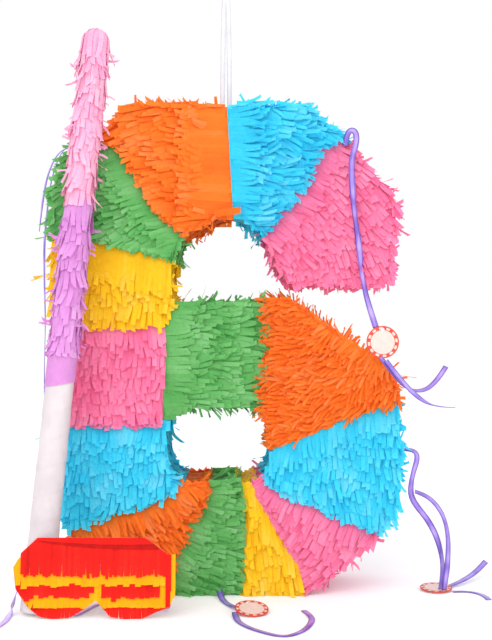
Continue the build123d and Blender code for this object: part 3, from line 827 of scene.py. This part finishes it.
# How long the strips are: they stop at the trap door's edge, and a little past their own section.
def edgeLengths(loop, look, index, start, y, flat, turn, rim):
    length = flat + look["length"] * (0.8 if rim == 0 else 0.62) * rng.normal(0.9, 0.15, len(y))
    if turn == 0:
        length = np.minimum(length, 38.5 - y)
    reachable = np.arange(1.0, 40.0)
    home = onLoop(loop, start)[0]
    trial = np.broadcast_to(home[:, None], (len(y), len(reachable), 2))
    if turn:
        trial = onLoop(loop, start[:, None] + turn * reachable)[0]
    depth = np.broadcast_to(y[:, None] + (0 if turn else reachable), trial.shape[:2])
    onDoor = onTrap(home[:, 0], y, home[:, 1]) & (rim == 0)
    if rim == 0:
        crosses = onTrap(trial[..., 0], depth, trial[..., 1]) != onDoor[:, None]
        cut = np.where(crosses.any(1), reachable[crosses.argmax(1)], 99.0)
        length = np.minimum(length, cut - 1.2)
    if turn:
        ahead = np.floor((start[:, None] + turn * reachable) / loop["step"]).astype(int)
        leaves = loop["owner"][ahead % len(loop["points"])] != index
        limit = np.where(leaves.any(1), reachable[leaves.argmax(1)], 99.0)
        length = np.minimum(length, limit + min(look.get("lap", 6.0), 3.0))
    return length, onDoor


# The strips' own lines, normals and sides, 4 mm inside the tissue's outline.
def edgeLines(loop, start, y, along, turn, rim):
    count = len(y)
    back = np.array([0.0, 1.0, 0.0])
    root, outward = onLoop(loop, start)
    if turn:
        bent, bentNormal = onLoop(loop, start[:, None] + turn * along)
        ahead = np.stack([outward[:, 1], -outward[:, 0]], 1) * turn
        plain = root[:, None] + ahead[:, None] * along[..., None]
        hug = np.clip(rng.normal(0.85, 0.2, count), 0.3, 1.0)[:, None, None]
        flatLine = bent * hug + plain * (1 - hug) - bentNormal * 4.0
        out = unit(bentNormal * hug + outward[:, None] * (1 - hug))
        depth = np.broadcast_to(y[:, None], along.shape)
        line = np.stack([flatLine[..., 0], depth, flatLine[..., 1]], -1)
        normal = np.stack([out[..., 0], np.zeros_like(along), out[..., 1]], -1)
        side = np.broadcast_to(back, line.shape)
    else:
        root = root - outward * 4.0
        x, z = [np.broadcast_to(root[:, k:k + 1], along.shape) for k in (0, 1)]
        line = np.stack([x, y[:, None] + along, z], -1)
        normal = np.stack([outward[:, 0], np.zeros(count), outward[:, 1]], 1)
        normal = np.broadcast_to(normal[:, None], line.shape)
        side = np.cross(normal, np.broadcast_to(back, line.shape))
    if rim:
        line = line + normal * 0.4
        normal = unit(normal * 0.75 + np.array([0.0, rim * 0.75, 0.0]))
        side = np.cross(unit(np.gradient(line, axis=1)), normal)
    return line, normal, side


# Strips round the edge of the figure, as {section: parts}; rim 0 is the flat of the edge,
# and -1 or 1 the rounded line where it meets the front or the back.
def edgeStrips(loop, rim):
    made = {}
    tangents = np.stack([loop["normals"][:, 1], -loop["normals"][:, 0]], 1)
    for node in sections[:-1]:
        look = sectionLooks[node]
        index = sectionOf[node]
        mine = np.nonzero(loop["owner"] == index)[0]
        if not len(mine):
            continue
        dx, dz = look["field"](loop["points"][mine, 0], loop["points"][mine, 1])
        forward = dx * tangents[mine, 0] + dz * tangents[mine, 1]
        for turn in (1, -1, 0):
            roots = edgeRoots(loop, look, mine, forward, turn, rim)
            if roots is None:
                continue
            start, y = roots
            flat = np.full(len(y), look["row"] * 0.35)
            length, onDoor = edgeLengths(loop, look, index, start, y, flat, turn, rim)
            keep = length > 4
            if not keep.any():
                continue
            y, start, flat, length, onDoor = [v[keep] for v in (y, start, flat, length, onDoor)]
            flat = np.minimum(flat, length * 0.8)
            along = np.linspace(0, 1, 7) * length[:, None]
            line, normal, side = edgeLines(loop, start, y, along, turn, rim)
            for door in (False, True):
                part = onDoor == door
                if part.any():
                    makeup = makeups["calm"] if door else dict(makeups[look["look"]], **edgeMess)
                    width = np.full(part.sum(), look["width"]) * rng.normal(1, 0.08, part.sum())
                    strips = [v[part] for v in (line, normal, side, length, flat)]
                    name = "trap_flap_tissue" if door else node
                    made.setdefault(name, []).append(makeStrips(*strips, width, makeup))
    return made


# The tissue glued flat on the card: the CAD tissue's inner faces, a little proud of the card.
def baseSheet(node):
    edit = bmesh.new()
    edit.from_mesh(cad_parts[node].data)
    bmesh.ops.remove_doubles(edit, verts=edit.verts, dist=1e-5)
    drop = []
    for face in edit.faces:
        centre = face.calc_center_median() / mm
        n = face.normal
        if node == "trap_flap_tissue":
            keep = n.z > 0.9
        elif node == "fill_flap_tissue":
            keep = n.y < -0.9
        elif abs(n.y) > 0.9:
            keep = abs(centre.y) < 36.5
        else:
            inward = np.array([[centre.x + n.x * 2.5, centre.z + n.z * 2.5],
                               [centre.x - n.x * 6.0, centre.z - n.z * 6.0]])
            owner = ownerAt(-1, inward[:, 0], inward[:, 1])
            keep = owner[0] != -1 and owner[1] == -1
        if not keep:
            drop.append(face)
    bmesh.ops.delete(edit, geom=drop, context="FACES")
    shifts = {}
    for vert in edit.verts:
        flats = {}
        for face in vert.link_faces:
            key = "face" if abs(face.normal.y) > 0.9 else "edge"
            flats[key] = flats.get(key, Vector()) + face.normal
        shifts[vert] = sum((-v.normalized() for v in flats.values()), Vector())
    for vert, shift in shifts.items():
        vert.co += shift * 0.6 * mm
    bmesh.ops.triangulate(edit, faces=edit.faces)
    edit.verts.index_update()
    points = np.array([v.co for v in edit.verts]).reshape(-1, 3) / mm
    faces = [[v.index for v in face.verts] for face in edit.faces]
    edit.free()
    return points, faces


batPath = {"x": -151.15, "y": -93.16, "leanX": 0.08749, "leanY": 0.108635, "clear": 13.0, "deepest": -36.8}


# Strips give way along the line where the bat leans and slides.
def besideBat(points):
    x = batPath["x"] + batPath["leanX"] * points[:, 2]
    y = batPath["y"] + batPath["leanY"] * points[:, 2]
    back = y + np.sqrt(np.maximum(batPath["clear"] ** 2 - (points[:, 0] - x) ** 2, 0))
    inFront = (points[:, 1] < back) & (points[:, 1] > y - batPath["clear"])
    met = (np.abs(points[:, 0] - x) < batPath["clear"]) & inFront
    points = points.copy()
    points[:, 1] = np.where(met, np.maximum(points[:, 1], np.minimum(back, batPath["deepest"])), points[:, 1])
    return points


fillDoor = {"left": -135.0, "right": -69.0, "foot": 160.5, "head": 221.6}


# Strips of the figure keep off the fill door.
def besideDoor(points):
    x, y, z = points.T
    gaps = [x - fillDoor["left"], fillDoor["right"] - x, z - fillDoor["foot"], fillDoor["head"] - z]
    gaps = np.stack(gaps, 1)
    over = (y > 30) & (gaps > 0).all(1)
    nearest = gaps.argmin(1)
    points = points.copy()
    for k, (number, key) in enumerate(((0, "left"), (0, "right"), (2, "foot"), (2, "head"))):
        points[over & (nearest == k), number] = fillDoor[key]
    return points


# Puts the flat sheet of a section into its strips' mesh.
def addSheet(mesh, node):
    points, faces = baseSheet(node)
    sheet = bpy.data.meshes.new(node + "Sheet")
    sheet.from_pydata((points * mm).tolist(), [], faces)
    setUvs(sheet, "strip", (points[:, [0, 2]] + points[:, [1, 1]]) / 10)
    # the flat sheet is given a darker tone than the strips: painted shade for where it shows in the gaps
    # between them
    toneLayer = sheet.attributes.new("tone", "FLOAT", "POINT")
    toneLayer.data.foreach_set("value", np.full(len(points), 0.3, np.float32))
    both = bmesh.new()
    both.from_mesh(mesh)
    both.from_mesh(sheet)
    both.to_mesh(mesh)
    both.free()
    bpy.data.meshes.remove(sheet)


parts = {node: [] for node in list(sectionLooks) + ["trap_flap_tissue"]}
for node in sections:
    for side in (-1, 1):
        made = faceStrips(node, side)
        if made:
            parts[node].append(made)
for loop in loops:
    for rim in (0, -1, 1):
        for node, made in edgeStrips(loop, rim).items():
            parts[node] += made

whiskerLook = {"each": 9.0, "length": 11.0, "width": 2.3, "depths": [-36.0, -30.0, 34.0], "innerShare": 0.4}


# Torn strips round one loop, fewer of them inside the openings and none by the floor or the trap door.
def loopWhiskers(loop):
    around = loop["step"] * len(loop["points"])
    where = np.arange(0, around, whiskerLook["each"])
    where = where + rng.uniform(-3, 3, len(where))
    place, out = onLoop(loop, where)
    y = rng.choice(whiskerLook["depths"], len(where)) + rng.normal(0, 1.5, len(where))
    clear = rng.random(len(where)) < (whiskerLook["innerShare"] if around < 400 else 1.0)
    clear &= (place[:, 1] - 3.5 * out[:, 1] > 9) & ~onTrap(place[:, 0], y * 0, place[:, 1])
    owner = loop["owner"][np.floor(where / loop["step"]).astype(int) % len(loop["points"])]
    for index in np.unique(owner[clear]):
        mine = clear & (owner == index)
        outward = np.stack([out[mine, 0], 0.15 * np.sign(y[mine]), out[mine, 1]], 1)
        onward = np.stack([-out[mine, 1], np.zeros(mine.sum()), out[mine, 0]], 1)
        roots = np.stack([place[mine, 0], y[mine], place[mine, 1]], 1) - outward * 3.5
        strips = whiskers(roots, outward, onward, whiskerLook["length"], whiskerLook["width"])
        parts[sections[index]].append(strips)


for loop in loops:
    loopWhiskers(loop)

# the loose end of the last orange strip, across the top of the opening
looseEnd = {"start": (-12.0, -36.6, 321.5), "reach": (22.5, -1.0, 1.6), "length": 22.6, "flat": 6.0,
            "width": 6.2}
line = (np.array(looseEnd["start"]) + np.linspace(0, 1, 7)[:, None] * np.array(looseEnd["reach"]))[None]
facing, upward = [np.broadcast_to(np.array(v), line.shape) for v in ((0.0, -1.0, 0.0), (0.0, 0.0, 1.0))]
size, flat, width = [np.array([looseEnd[k]]) for k in ("length", "flat", "width")]
makeup = dict(makeups["calm"], base=3.4, tone=0.12, mess=0.4)
parts["tissue_orange_top"].append(makeStrips(line, facing, upward, size, flat, width, makeup))

for node, made in parts.items():
    look = sectionLooks.get(node, sectionLooks["tissue_green_base"])
    points, faces, tones, coords = joined(made)
    points = besideBat(points)
    if node not in ("fill_flap_tissue", "trap_flap_tissue"):
        points = besideDoor(points)
    mesh = paperMesh(node + "Fringe", points, faces, tones, coords)
    addSheet(mesh, node)
    body = {"fill_flap_tissue": "fill_door", "trap_flap_tissue": "trap_door"}.get(node, "shell")
    name = "fringe_" + node.replace("tissue_", "").replace("_tissue", "")
    finishedObject(name, mesh, tissues[look["paper"]], body, [node])
    print("fringe", node, len(mesh.polygons))

# the bat: heights are along its axis, from its foot
bat = {"foot": np.array([-151.0, -92.97, 1.73]), "axis": np.array([0.08665, 0.107593, 0.990412]),
       "radius": 10.6, "crown": 467.0, "seam": 328.0, "grip": 196.0}
axis = bat["axis"] / np.linalg.norm(bat["axis"])
east = unit(np.cross(axis, np.array([0.0, 1.0, 0.0])))
north = np.cross(east, axis)
quarter = math.pi * bat["radius"] / 2


# Points, normals and ways round of the bat's card at distance q from the crown's tip along its surface.
def onBat(q, angle):
    theta = np.clip(q / bat["radius"], 0, math.pi / 2)
    radial = np.cos(angle)[..., None] * east + np.sin(angle)[..., None] * north
    normal = axis * np.cos(theta)[..., None] + radial * np.sin(theta)[..., None]
    down = np.maximum(q - quarter, 0)
    centre = bat["foot"] + axis * (bat["crown"] - down)[..., None]
    side = -np.sin(angle)[..., None] * east + np.cos(angle)[..., None] * north
    return centre + normal * bat["radius"], normal, side


def batStrips(q0, q1, row, band, width, length, look, slant=0.0):
    parts = []
    for q in np.arange(q0, q1, row):
        ring = bat["radius"] * math.sin(min((q + 3) / bat["radius"], math.pi / 2))
        count = max(int(round(2 * math.pi * ring / width)), 8)
        angle = (np.arange(count) + rng.random()) * 2 * math.pi / count
        start = np.full(count, q) + slant * np.cos(angle - 0.6) + rng.normal(0, 0.5, count)
        flat = np.full(count, 17.0 if q < 3 else 9.0 if q < 16 else band) * rng.normal(1, 0.08, count)
        size = np.minimum(flat + length * rng.normal(1, 0.16, count), q1 + 9.0 - start)
        keep = size > 5
        start, flat = np.maximum(start, 0.3), np.minimum(flat, size * 0.8)
        angle, start, flat, size = [v[keep] for v in (angle, start, flat, size)]
        along = np.linspace(0, 1, 9) * size[:, None]
        line, normal, side = onBat(start[:, None] + along, np.broadcast_to(angle[:, None], along.shape))
        widths = np.full(len(size), 2 * math.pi * max(ring, 5.0) / count * 1.08)
        parts.append(makeStrips(line, normal, side, size, flat, widths, look))
    return parts


# A smooth sheet of tissue round the bat.
def batSleeve(q0, q1, height, tone, slant=0.0):
    q, a = np.meshgrid(np.linspace(q0, q1, 40), np.linspace(0, 2 * math.pi, 41), indexing="ij")
    q = q + slant * np.cos(a + 0.5) * (q - q0) / (q1 - q0)
    line, normal, side = onBat(q, a)
    points = (line + normal * height).reshape(-1, 3)
    i, j = [g.ravel() for g in np.meshgrid(np.arange(39), np.arange(40), indexing="ij")]
    k = i * 41 + j
    faces = np.stack([k, k + 1, k + 42, k + 41], 1)
    return points, faces, np.full(len(points), tone), np.stack([a.ravel() * 1.2, q.ravel() / 10], 1)


palePink = tissueMaterial("palePinkTissue", "#FFD3E6", "#FFB9D9", "#F79BC6", 0.25)
lilacTissue = tissueMaterial("lilacTissue", "#F0B8EC", "#E39ADF", "#CC7FCB", 0.25)
batTop = bat["crown"] - bat["seam"] + quarter
batEnd = bat["crown"] - bat["grip"] + quarter
batLook = {"base": 0.5, "slope": 0.04, "lift": 1.1, "mess": 1.15, "crumple": 0.24, "taper": 0.05,
           "stray": 0.05, "rise": 7.0}
batSections = {
    "fringe_bat_pink": {"from": 0.5, "to": batTop, "paper": palePink, "slot": "pale_pink_tissue",
                        "node": "bat_tissue_pink", "band": 5.0, "slant": 0.0},
    "fringe_bat_lilac": {"from": batTop - 3.0, "to": batEnd - 9.0, "paper": lilacTissue,
                         "slot": "lilac_tissue", "node": "bat_tissue_lilac", "band": 8.0, "slant": 2.5},
}
for name, part in batSections.items():
    q0, q1 = part["from"], part["to"]
    made = [batSleeve(0.02 if q0 < 1 else q0, q1, 0.7, 0.4)]
    made += batStrips(q0, q1 - 6, 12.5, part["band"], 3.9, 18.0, batLook, part["slant"])
    q = rng.uniform(q0 + 14, q1 - 8, 34)
    a = np.concatenate([rng.normal(0, 0.6, 17), rng.normal(math.pi, 0.6, 17)])
    if name == "fringe_bat_lilac":
        # a plain band of tissue over the top of the grip
        made.append(batSleeve(batEnd - 16.0, batEnd + 15.5, 1.4, 0.5, 3.2))
    roots, out, aside = onBat(q, a)
    made.append(whiskers(roots + out, out, axis * -0.6 + aside * 0.3, 10.0, 1.7))
    finishedObject(name, paperMesh(name, *joined(made)), part["paper"], "bat", [part["node"]])


# Thin white wrapping paper, rolled tight: faint mottling, and a crinkle along the roll.
def wrapMaterial(name, pale, mid, deep):
    material, tree = newMaterial(name)
    place = addNode(tree, "ShaderNodeTexCoord").outputs["Object"]
    strip = addNode(tree, "ShaderNodeUVMap", {"uv_map": "strip"})
    mottle = addNode(tree, "ShaderNodeTexNoise", Vector=place, Scale=34.0, Detail=4.0, Roughness=0.6)
    stops = hexStops((0.3, deep), (0.6, mid), (0.85, pale))
    colour = addNode(tree, "ShaderNodeValToRGB", stops=stops, Fac=mottle)
    crinkle = addNode(tree, "ShaderNodeTexNoise", Vector=strip, Scale=1.6, Detail=5.0, Roughness=0.62)
    bump = addNode(tree, "ShaderNodeBump", Height=crinkle, Strength=0.35, Distance=0.0006)
    shader = addNode(tree, "ShaderNodeBsdfPrincipled", Base_Color=colour, Normal=bump, Roughness=0.55,
                     Specular_IOR_Level=0.4)
    addNode(tree, "ShaderNodeOutputMaterial", Surface=shader)
    return material


# the grip: one sheet of paper rolled round the tube, its loose edge a shallow spiral
grip = {"turns": 9.0, "foot": 12.35, "top": 11.3, "fold": 0.35, "start": 0.25}
s, a = np.meshgrid(np.linspace(grip["start"], bat["grip"], 150), np.linspace(0, 2 * math.pi, 97)[:-1],
                   indexing="ij")
layer = (a / (2 * math.pi) + s / bat["grip"] * grip["turns"]) % 1.0
radius = grip["foot"] + (grip["top"] - grip["foot"]) * s / bat["grip"] - grip["fold"] * layer ** 2
radius = radius + 0.12 * np.sin(3 * a + s * 0.09) + 0.07 * np.sin(7 * a - s * 0.21)
radial = np.cos(a)[..., None] * east + np.sin(a)[..., None] * north
wrap = bat["foot"] + axis * s[..., None] + radial * radius[..., None]
ends = []
for k in (0, -1):
    centre = bat["foot"] + axis * (grip["start"] if k == 0 else bat["grip"])
    ends.append([centre + (wrap[k] - centre) * f for f in (0.86, 0.93)])
grid = np.concatenate([np.array([ends[0][0], ends[0][1]]), wrap, np.array([ends[1][1], ends[1][0]])], 0)
roundWay, upWay = np.linspace(0, 7.7, 96)[None, :], np.linspace(0, 19.6, len(grid))[:, None]
coords = np.stack(np.broadcast_arrays(roundWay, upWay), -1)
wrapPaper = wrapMaterial("whiteWrappingPaper", "#D9D2D5", "#D1C8CB", "#C5BBBF")
finishedObject("wrapped_grip", gridMesh("wrappedGrip", grid, coords), wrapPaper, "bat",
               ["bat_grip"])
print("bat and its grip")

# the blindfold: u runs across it and v up it, in millimetres from its lower left corner
mask = {"origin": np.array([-165.5, maskY, 0.0]), "up": np.array([0.0, 0.10800, 0.99415]),
        "out": np.array([0.0, -0.99415, 0.10800])}
maskPoints = [
    (18, 62), (102, 62), (120, 49), (125, 49), (125, 18), (121, 9), (112, 6), (100, 0.4), (87, 0),
    (75, 2), (64, 14.5), (54, 7), (44, 1.2), (31, 0), (20, 2), (11, 9), (1, 24), (0, 40), (5, 50),
]
maskOutline = np.array(maskPoints, float)


# The lowest and highest point of the mask's outline at a place across it.
def maskSpan(u):
    closed = np.vstack([maskOutline, maskOutline[:1]])
    found = []
    for (u0, v0), (u1, v1) in zip(closed[:-1], closed[1:]):
        if min(u0, u1) <= u <= max(u0, u1) and u0 != u1:
            found.append(v0 + (v1 - v0) * (u - u0) / (u1 - u0))
    return (min(found), max(found)) if found else (30.0, 30.0)


maskU = np.linspace(0, 125, 501)
maskLow, maskHigh = np.array([maskSpan(u) for u in maskU]).T

# the red's deep stop is also the painted shade of the crease under the blindfold's hem
redTissue = tissueMaterial("redTissue", "#FF3A28", "#FA1C12", "#A80806", 0.2)
goldenTissue = tissueMaterial("goldenTissue", "#FFC62A", "#FBB400", "#EC9C00", 0.2)
# each run is its start and end across the mask, its top and foot, its glued part, the strips' width,
# and how ragged its foot is
maskRows = [
    {"paper": redTissue, "slot": "red_tissue", "base": 2.5,
     "runs": [(5.0, 118.0, 61.9, 32.6, 15.5, 2.3, 0.9), (118.0, 122.4, 60.0, 9.0, 40.0, 2.2, 0.1)]},
    {
        "paper": goldenTissue, "slot": "golden_tissue", "base": 2.0,
        "runs": [(-0.4, 5.6, 47.0, 25.8, 12.0, 3.0, 0.1), (5.6, 117.8, 37.0, 25.7, 9.0, 4.6, 0.9),
                 (122.0, 125.6, 50.0, 9.0, 20.0, 1.8, 0.1)],
    },
    {"paper": redTissue, "slot": "red_tissue", "base": 1.7,
     "runs": [(-0.4, 62.5, 29.0, 16.2, 8.0, 3.9, 1.2), (68.0, 113.6, 29.0, 15.9, 8.0, 3.9, 1.2)]},
    {
        "paper": goldenTissue, "slot": "golden_tissue", "base": 1.35,
        "runs": [
            (1.0, 62.0, 21.0, 8.5, 8.0, 4.6, 0.45), (62.0, 68.2, 27.0, 8.5, 14.0, 3.1, 0.1),
            (68.2, 113.6, 21.0, 8.5, 8.0, 4.6, 0.45), (113.6, 118.0, 34.0, 8.5, 20.0, 2.2, 0.1),
        ],
    },
    {"paper": redTissue, "slot": "red_tissue", "base": 1.1,
     "runs": [(7.0, 57.0, 13.0, -0.5, 4.0, 2.2, 0.25), (66.0, 119.0, 13.0, -0.5, 4.0, 2.2, 0.25)]},
]


# A run of strips on the blindfold, from one place across it to another, hanging from top to foot.
def maskStrips(run, base, look):
    u0, u1, top, foot, flat, width, ragged = run
    count = max(int(round((u1 - u0) / width)), 1)
    width = (u1 - u0) / count
    u = u0 + (np.arange(count) + 0.5) * width
    beside = np.clip(u[:, None] + np.array([-0.5, 0, 0.5]) * width, 0, 125)
    upper = np.minimum(top + rng.normal(0, 0.1, count), np.interp(beside, maskU, maskHigh).max(1) + 0.5)
    lower = np.maximum(foot + rng.normal(0, ragged, count), np.interp(beside, maskU, maskLow).min(1) - 0.3)
    keep = upper - lower > 1.2
    u, upper, lower = u[keep], upper[keep], lower[keep]
    count = len(u)
    size = upper - lower
    along = np.linspace(0, 1, 8) * size[:, None]
    line = mask["origin"] + np.stack([u, np.zeros(count), np.zeros(count)], 1)[:, None]
    line = line + mask["up"] * (upper[:, None] - along)[..., None]
    normal = np.broadcast_to(mask["out"], line.shape)
    side = np.broadcast_to(np.array([1.0, 0.0, 0.0]), line.shape)
    glued = np.minimum(np.full(count, flat), size * 0.85)
    widths = np.full(count, width * 1.02)
    points, faces, tones, coords = makeStrips(line, normal, side, size, glued, widths, {**look, "base": base})
    held = points - mask["origin"]
    across, upward, proud = held[:, 0], held @ mask["up"], held @ mask["out"]
    trimmedUp = np.clip(upward, np.interp(across, maskU, maskLow) - 0.2,
                        np.interp(across, maskU, maskHigh) + 0.3)
    points = mask["origin"] + np.stack([across, np.zeros_like(across), np.zeros_like(across)], 1)
    points = points + mask["up"] * trimmedUp[:, None] + mask["out"] * proud[:, None]
    return points, faces, tones, coords


hanging = {"shade": 0.05, "slope": 0.01, "lift": 0.8, "mess": 0.42, "crumple": 0.06, "taper": 0.0,
           "stray": 0.03, "rise": 1.2, "skew": 0.03}
pressed = {"skew": 0.0, "slope": 0.0, "lift": 0.0, "mess": 0.0, "crumple": 0.0, "taper": 0.0,
           "stray": 0.0, "rise": 0.0}
for number, row in enumerate(maskRows, 1):
    made = [maskStrips(run, row["base"], hanging) for run in row["runs"]]
    if number == 1:
        # the folded hem along the top, and under its slanting edge a crease painted in the deepest red as
        # painted shade
        for u in np.arange(3.0, 121.0, 1.5):
            share = (u - 20) / 92
            edge = 59.8 - 2.6 * share - 1.4 * math.sin(math.pi * min(max(share, 0), 1))
            shade = 0.9 + 3.4 * min(max(share, 0), 1) ** 0.6
            made.append(maskStrips((u, u + 1.6, 63.0, edge, 30.0, 1.6, 0.0), 3.5, {**pressed, "tone": 0.34}))
            if 19 < u < 112:
                made.append(maskStrips((u, u + 1.6, edge + 1.0, edge - shade, 30.0, 1.6, 0.0), 3.2,
                                       {**pressed, "tone": 0.0}))
    name = "mask_fringe_" + str(number)
    mesh = paperMesh(name, *joined(made))
    finishedObject(name, mesh, row["paper"], "blindfold", ["mask_row_" + str(number)])
print("blindfold rows", len(maskRows))

# distances from a tag's middle are shares of its radius
tagLook = {"radius": 13.5, "squares": 12, "line": 0.74, "inner": 0.78, "outer": 0.92, "edge": 0.005,
           "cream": ("#DDBFB6", "#E6CBC2"), "red": ("#C43A28", "#D64C36")}


# Coated card printed with a ring of squares inside a red line, the face left bare.
def tagMaterial(name, look):
    material, tree = newMaterial(name)
    black, white = (0, 0, 0, 1), (1, 1, 1, 1)
    edge, line, inner, outer = look["edge"], look["line"], look["inner"], look["outer"]
    place = addNode(tree, "ShaderNodeTexCoord").outputs["Object"]
    face = addNode(tree, "ShaderNodeUVMap", {"uv_map": "face"})
    distance = addNode(tree, "ShaderNodeVectorMath", {"operation": "LENGTH"}, in0=face).outputs["Value"]
    split = addNode(tree, "ShaderNodeSeparateXYZ", Vector=face)
    x, y = split.outputs[0], split.outputs[1]
    angle = addNode(tree, "ShaderNodeMath", {"operation": "ARCTAN2"}, in0=y, in1=x)
    perTurn = look["squares"] / (2 * math.pi)
    turns = addNode(tree, "ShaderNodeMath", {"operation": "MULTIPLY"}, in0=angle, in1=perTurn)
    phase = addNode(tree, "ShaderNodeMath", {"operation": "FRACT"}, in0=turns)
    onSquare = addNode(tree, "ShaderNodeMath", {"operation": "LESS_THAN"}, in0=phase, in1=0.5)
    stops = [(0.0, black), (inner - edge, black), (inner + edge, white), (outer - edge, white),
             (outer + edge, black), (1.0, black)]
    ring = addNode(tree, "ShaderNodeValToRGB", stops=stops, Fac=distance)
    stops = [(0.0, black), (line - edge, black), (line + edge, white), (1.0, white)]
    border = addNode(tree, "ShaderNodeValToRGB", stops=stops, Fac=distance)
    square = addNode(tree, "ShaderNodeMath", {"operation": "MULTIPLY"}, in0=ring, in1=onSquare)
    fleck = addNode(tree, "ShaderNodeTexNoise", Vector=place, Scale=260.0, Detail=4.0)
    cream, red = [addNode(tree, "ShaderNodeValToRGB", stops=hexStops((0.3, deep), (0.7, pale)), Fac=fleck)
                  for deep, pale in (look["cream"], look["red"])]
    lined = addNode(tree, "ShaderNodeMix", {"data_type": "RGBA"}, Factor=border, A=cream, B=red)
    lined = lined.outputs["Result"]
    ringed = addNode(tree, "ShaderNodeMix", {"data_type": "RGBA"}, Factor=square, A=lined, B=cream)
    ringed = ringed.outputs["Result"]
    bump = addNode(tree, "ShaderNodeBump", Height=fleck, Strength=0.15, Distance=0.0002)
    shader = addNode(tree, "ShaderNodeBsdfPrincipled", Base_Color=ringed, Normal=bump, Roughness=0.45)
    addNode(tree, "ShaderNodeOutputMaterial", Surface=shader)
    return material


# a tag keeps its CAD shape, and its face coordinates run from its middle
tagPaper = tagMaterial("printedTagCard", tagLook)
for name, body in (("tag_upper", "shell"), ("tag_right", "shell"), ("tag_left", "shell"),
                   ("tag_bottom", "trap_door")):
    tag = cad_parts[name].data.copy()
    co = np.array([v.co for v in tag.vertices])
    centre = (co.max(0) + co.min(0)) / 2
    thin = np.linalg.svd(co - centre)[2]
    flat = np.stack([(co - centre) @ thin[0], (co - centre) @ thin[1]], 1) / (tagLook["radius"] * mm)
    setUvs(tag, "face", flat)
    tag.materials.clear()
    finishedObject(name + "_card", tag, tagPaper, body, [name])
print("tags with", tagLook["squares"], "squares")


# Raw card: long mottled fibres along its height, and a fine nap.
def cardMaterial(name, pale, mid, deep, roughness=0.85):
    material, tree = newMaterial(name)
    place = addNode(tree, "ShaderNodeTexCoord").outputs["Object"]
    stretch = addNode(tree, "ShaderNodeMapping", Vector=place, Scale=(1.0, 1.0, 6.0))
    mottle = addNode(tree, "ShaderNodeTexNoise", Vector=stretch, Scale=60.0, Detail=5.0, Roughness=0.65)
    fibre = addNode(tree, "ShaderNodeTexNoise", Vector=place, Scale=520.0, Detail=3.0)
    stops = hexStops((0.28, deep), (0.52, mid), (0.8, pale))
    colour = addNode(tree, "ShaderNodeValToRGB", stops=stops, Fac=mottle)
    bump = addNode(tree, "ShaderNodeBump", Height=fibre, Strength=0.3, Distance=0.0003)
    shader = addNode(tree, "ShaderNodeBsdfPrincipled", Base_Color=colour, Normal=bump, Roughness=roughness)
    addNode(tree, "ShaderNodeOutputMaterial", Surface=shader)
    return material


# the CAD card, tube and knot stay as they are
kraft = cardMaterial("kraftCorrugatedCard", "#C9A273", "#B48C5E", "#9A744A")
thinCard = cardMaterial("thinWhiteCard", "#F2EDE6", "#E8E1D8", "#D9D0C4")
tubeBoard = cardMaterial("greyTubeBoard", "#CDBFA9", "#BBAA91", "#A3927A")
cordTape = cardMaterial("whiteKnottedTape", "#EEEFF2", "#E2E4E8", "#CFD2D8", 0.5)
coveredCard = {
    kraft: ["front_panel", "back_panel", "fill_flap", "trap_flap", "hanger_washer"],
    thinCard: ["band_left", "band_top", "band_notch", "band_right", "band_base", "counter_band",
               "bat_cap_foot", "bat_cap_top", "mask_card"],
    tubeBoard: ["bat_tube"],
    cordTape: ["hanger_knot"],
}
for material, nodes in coveredCard.items():
    for node in nodes:
        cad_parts[node].data.materials.clear()
        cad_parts[node].data.materials.append(material)
print("card pieces", sum(len(nodes) for nodes in coveredCard.values()))

# each ribbon's route start, in metres; nothing further is done with it
for name, (piece, look, line, length) in ribbonPieces.items():
    start = [c * mm for c in ribbonRoutes[name][0]]
print("cords declared", len(ribbonPieces))
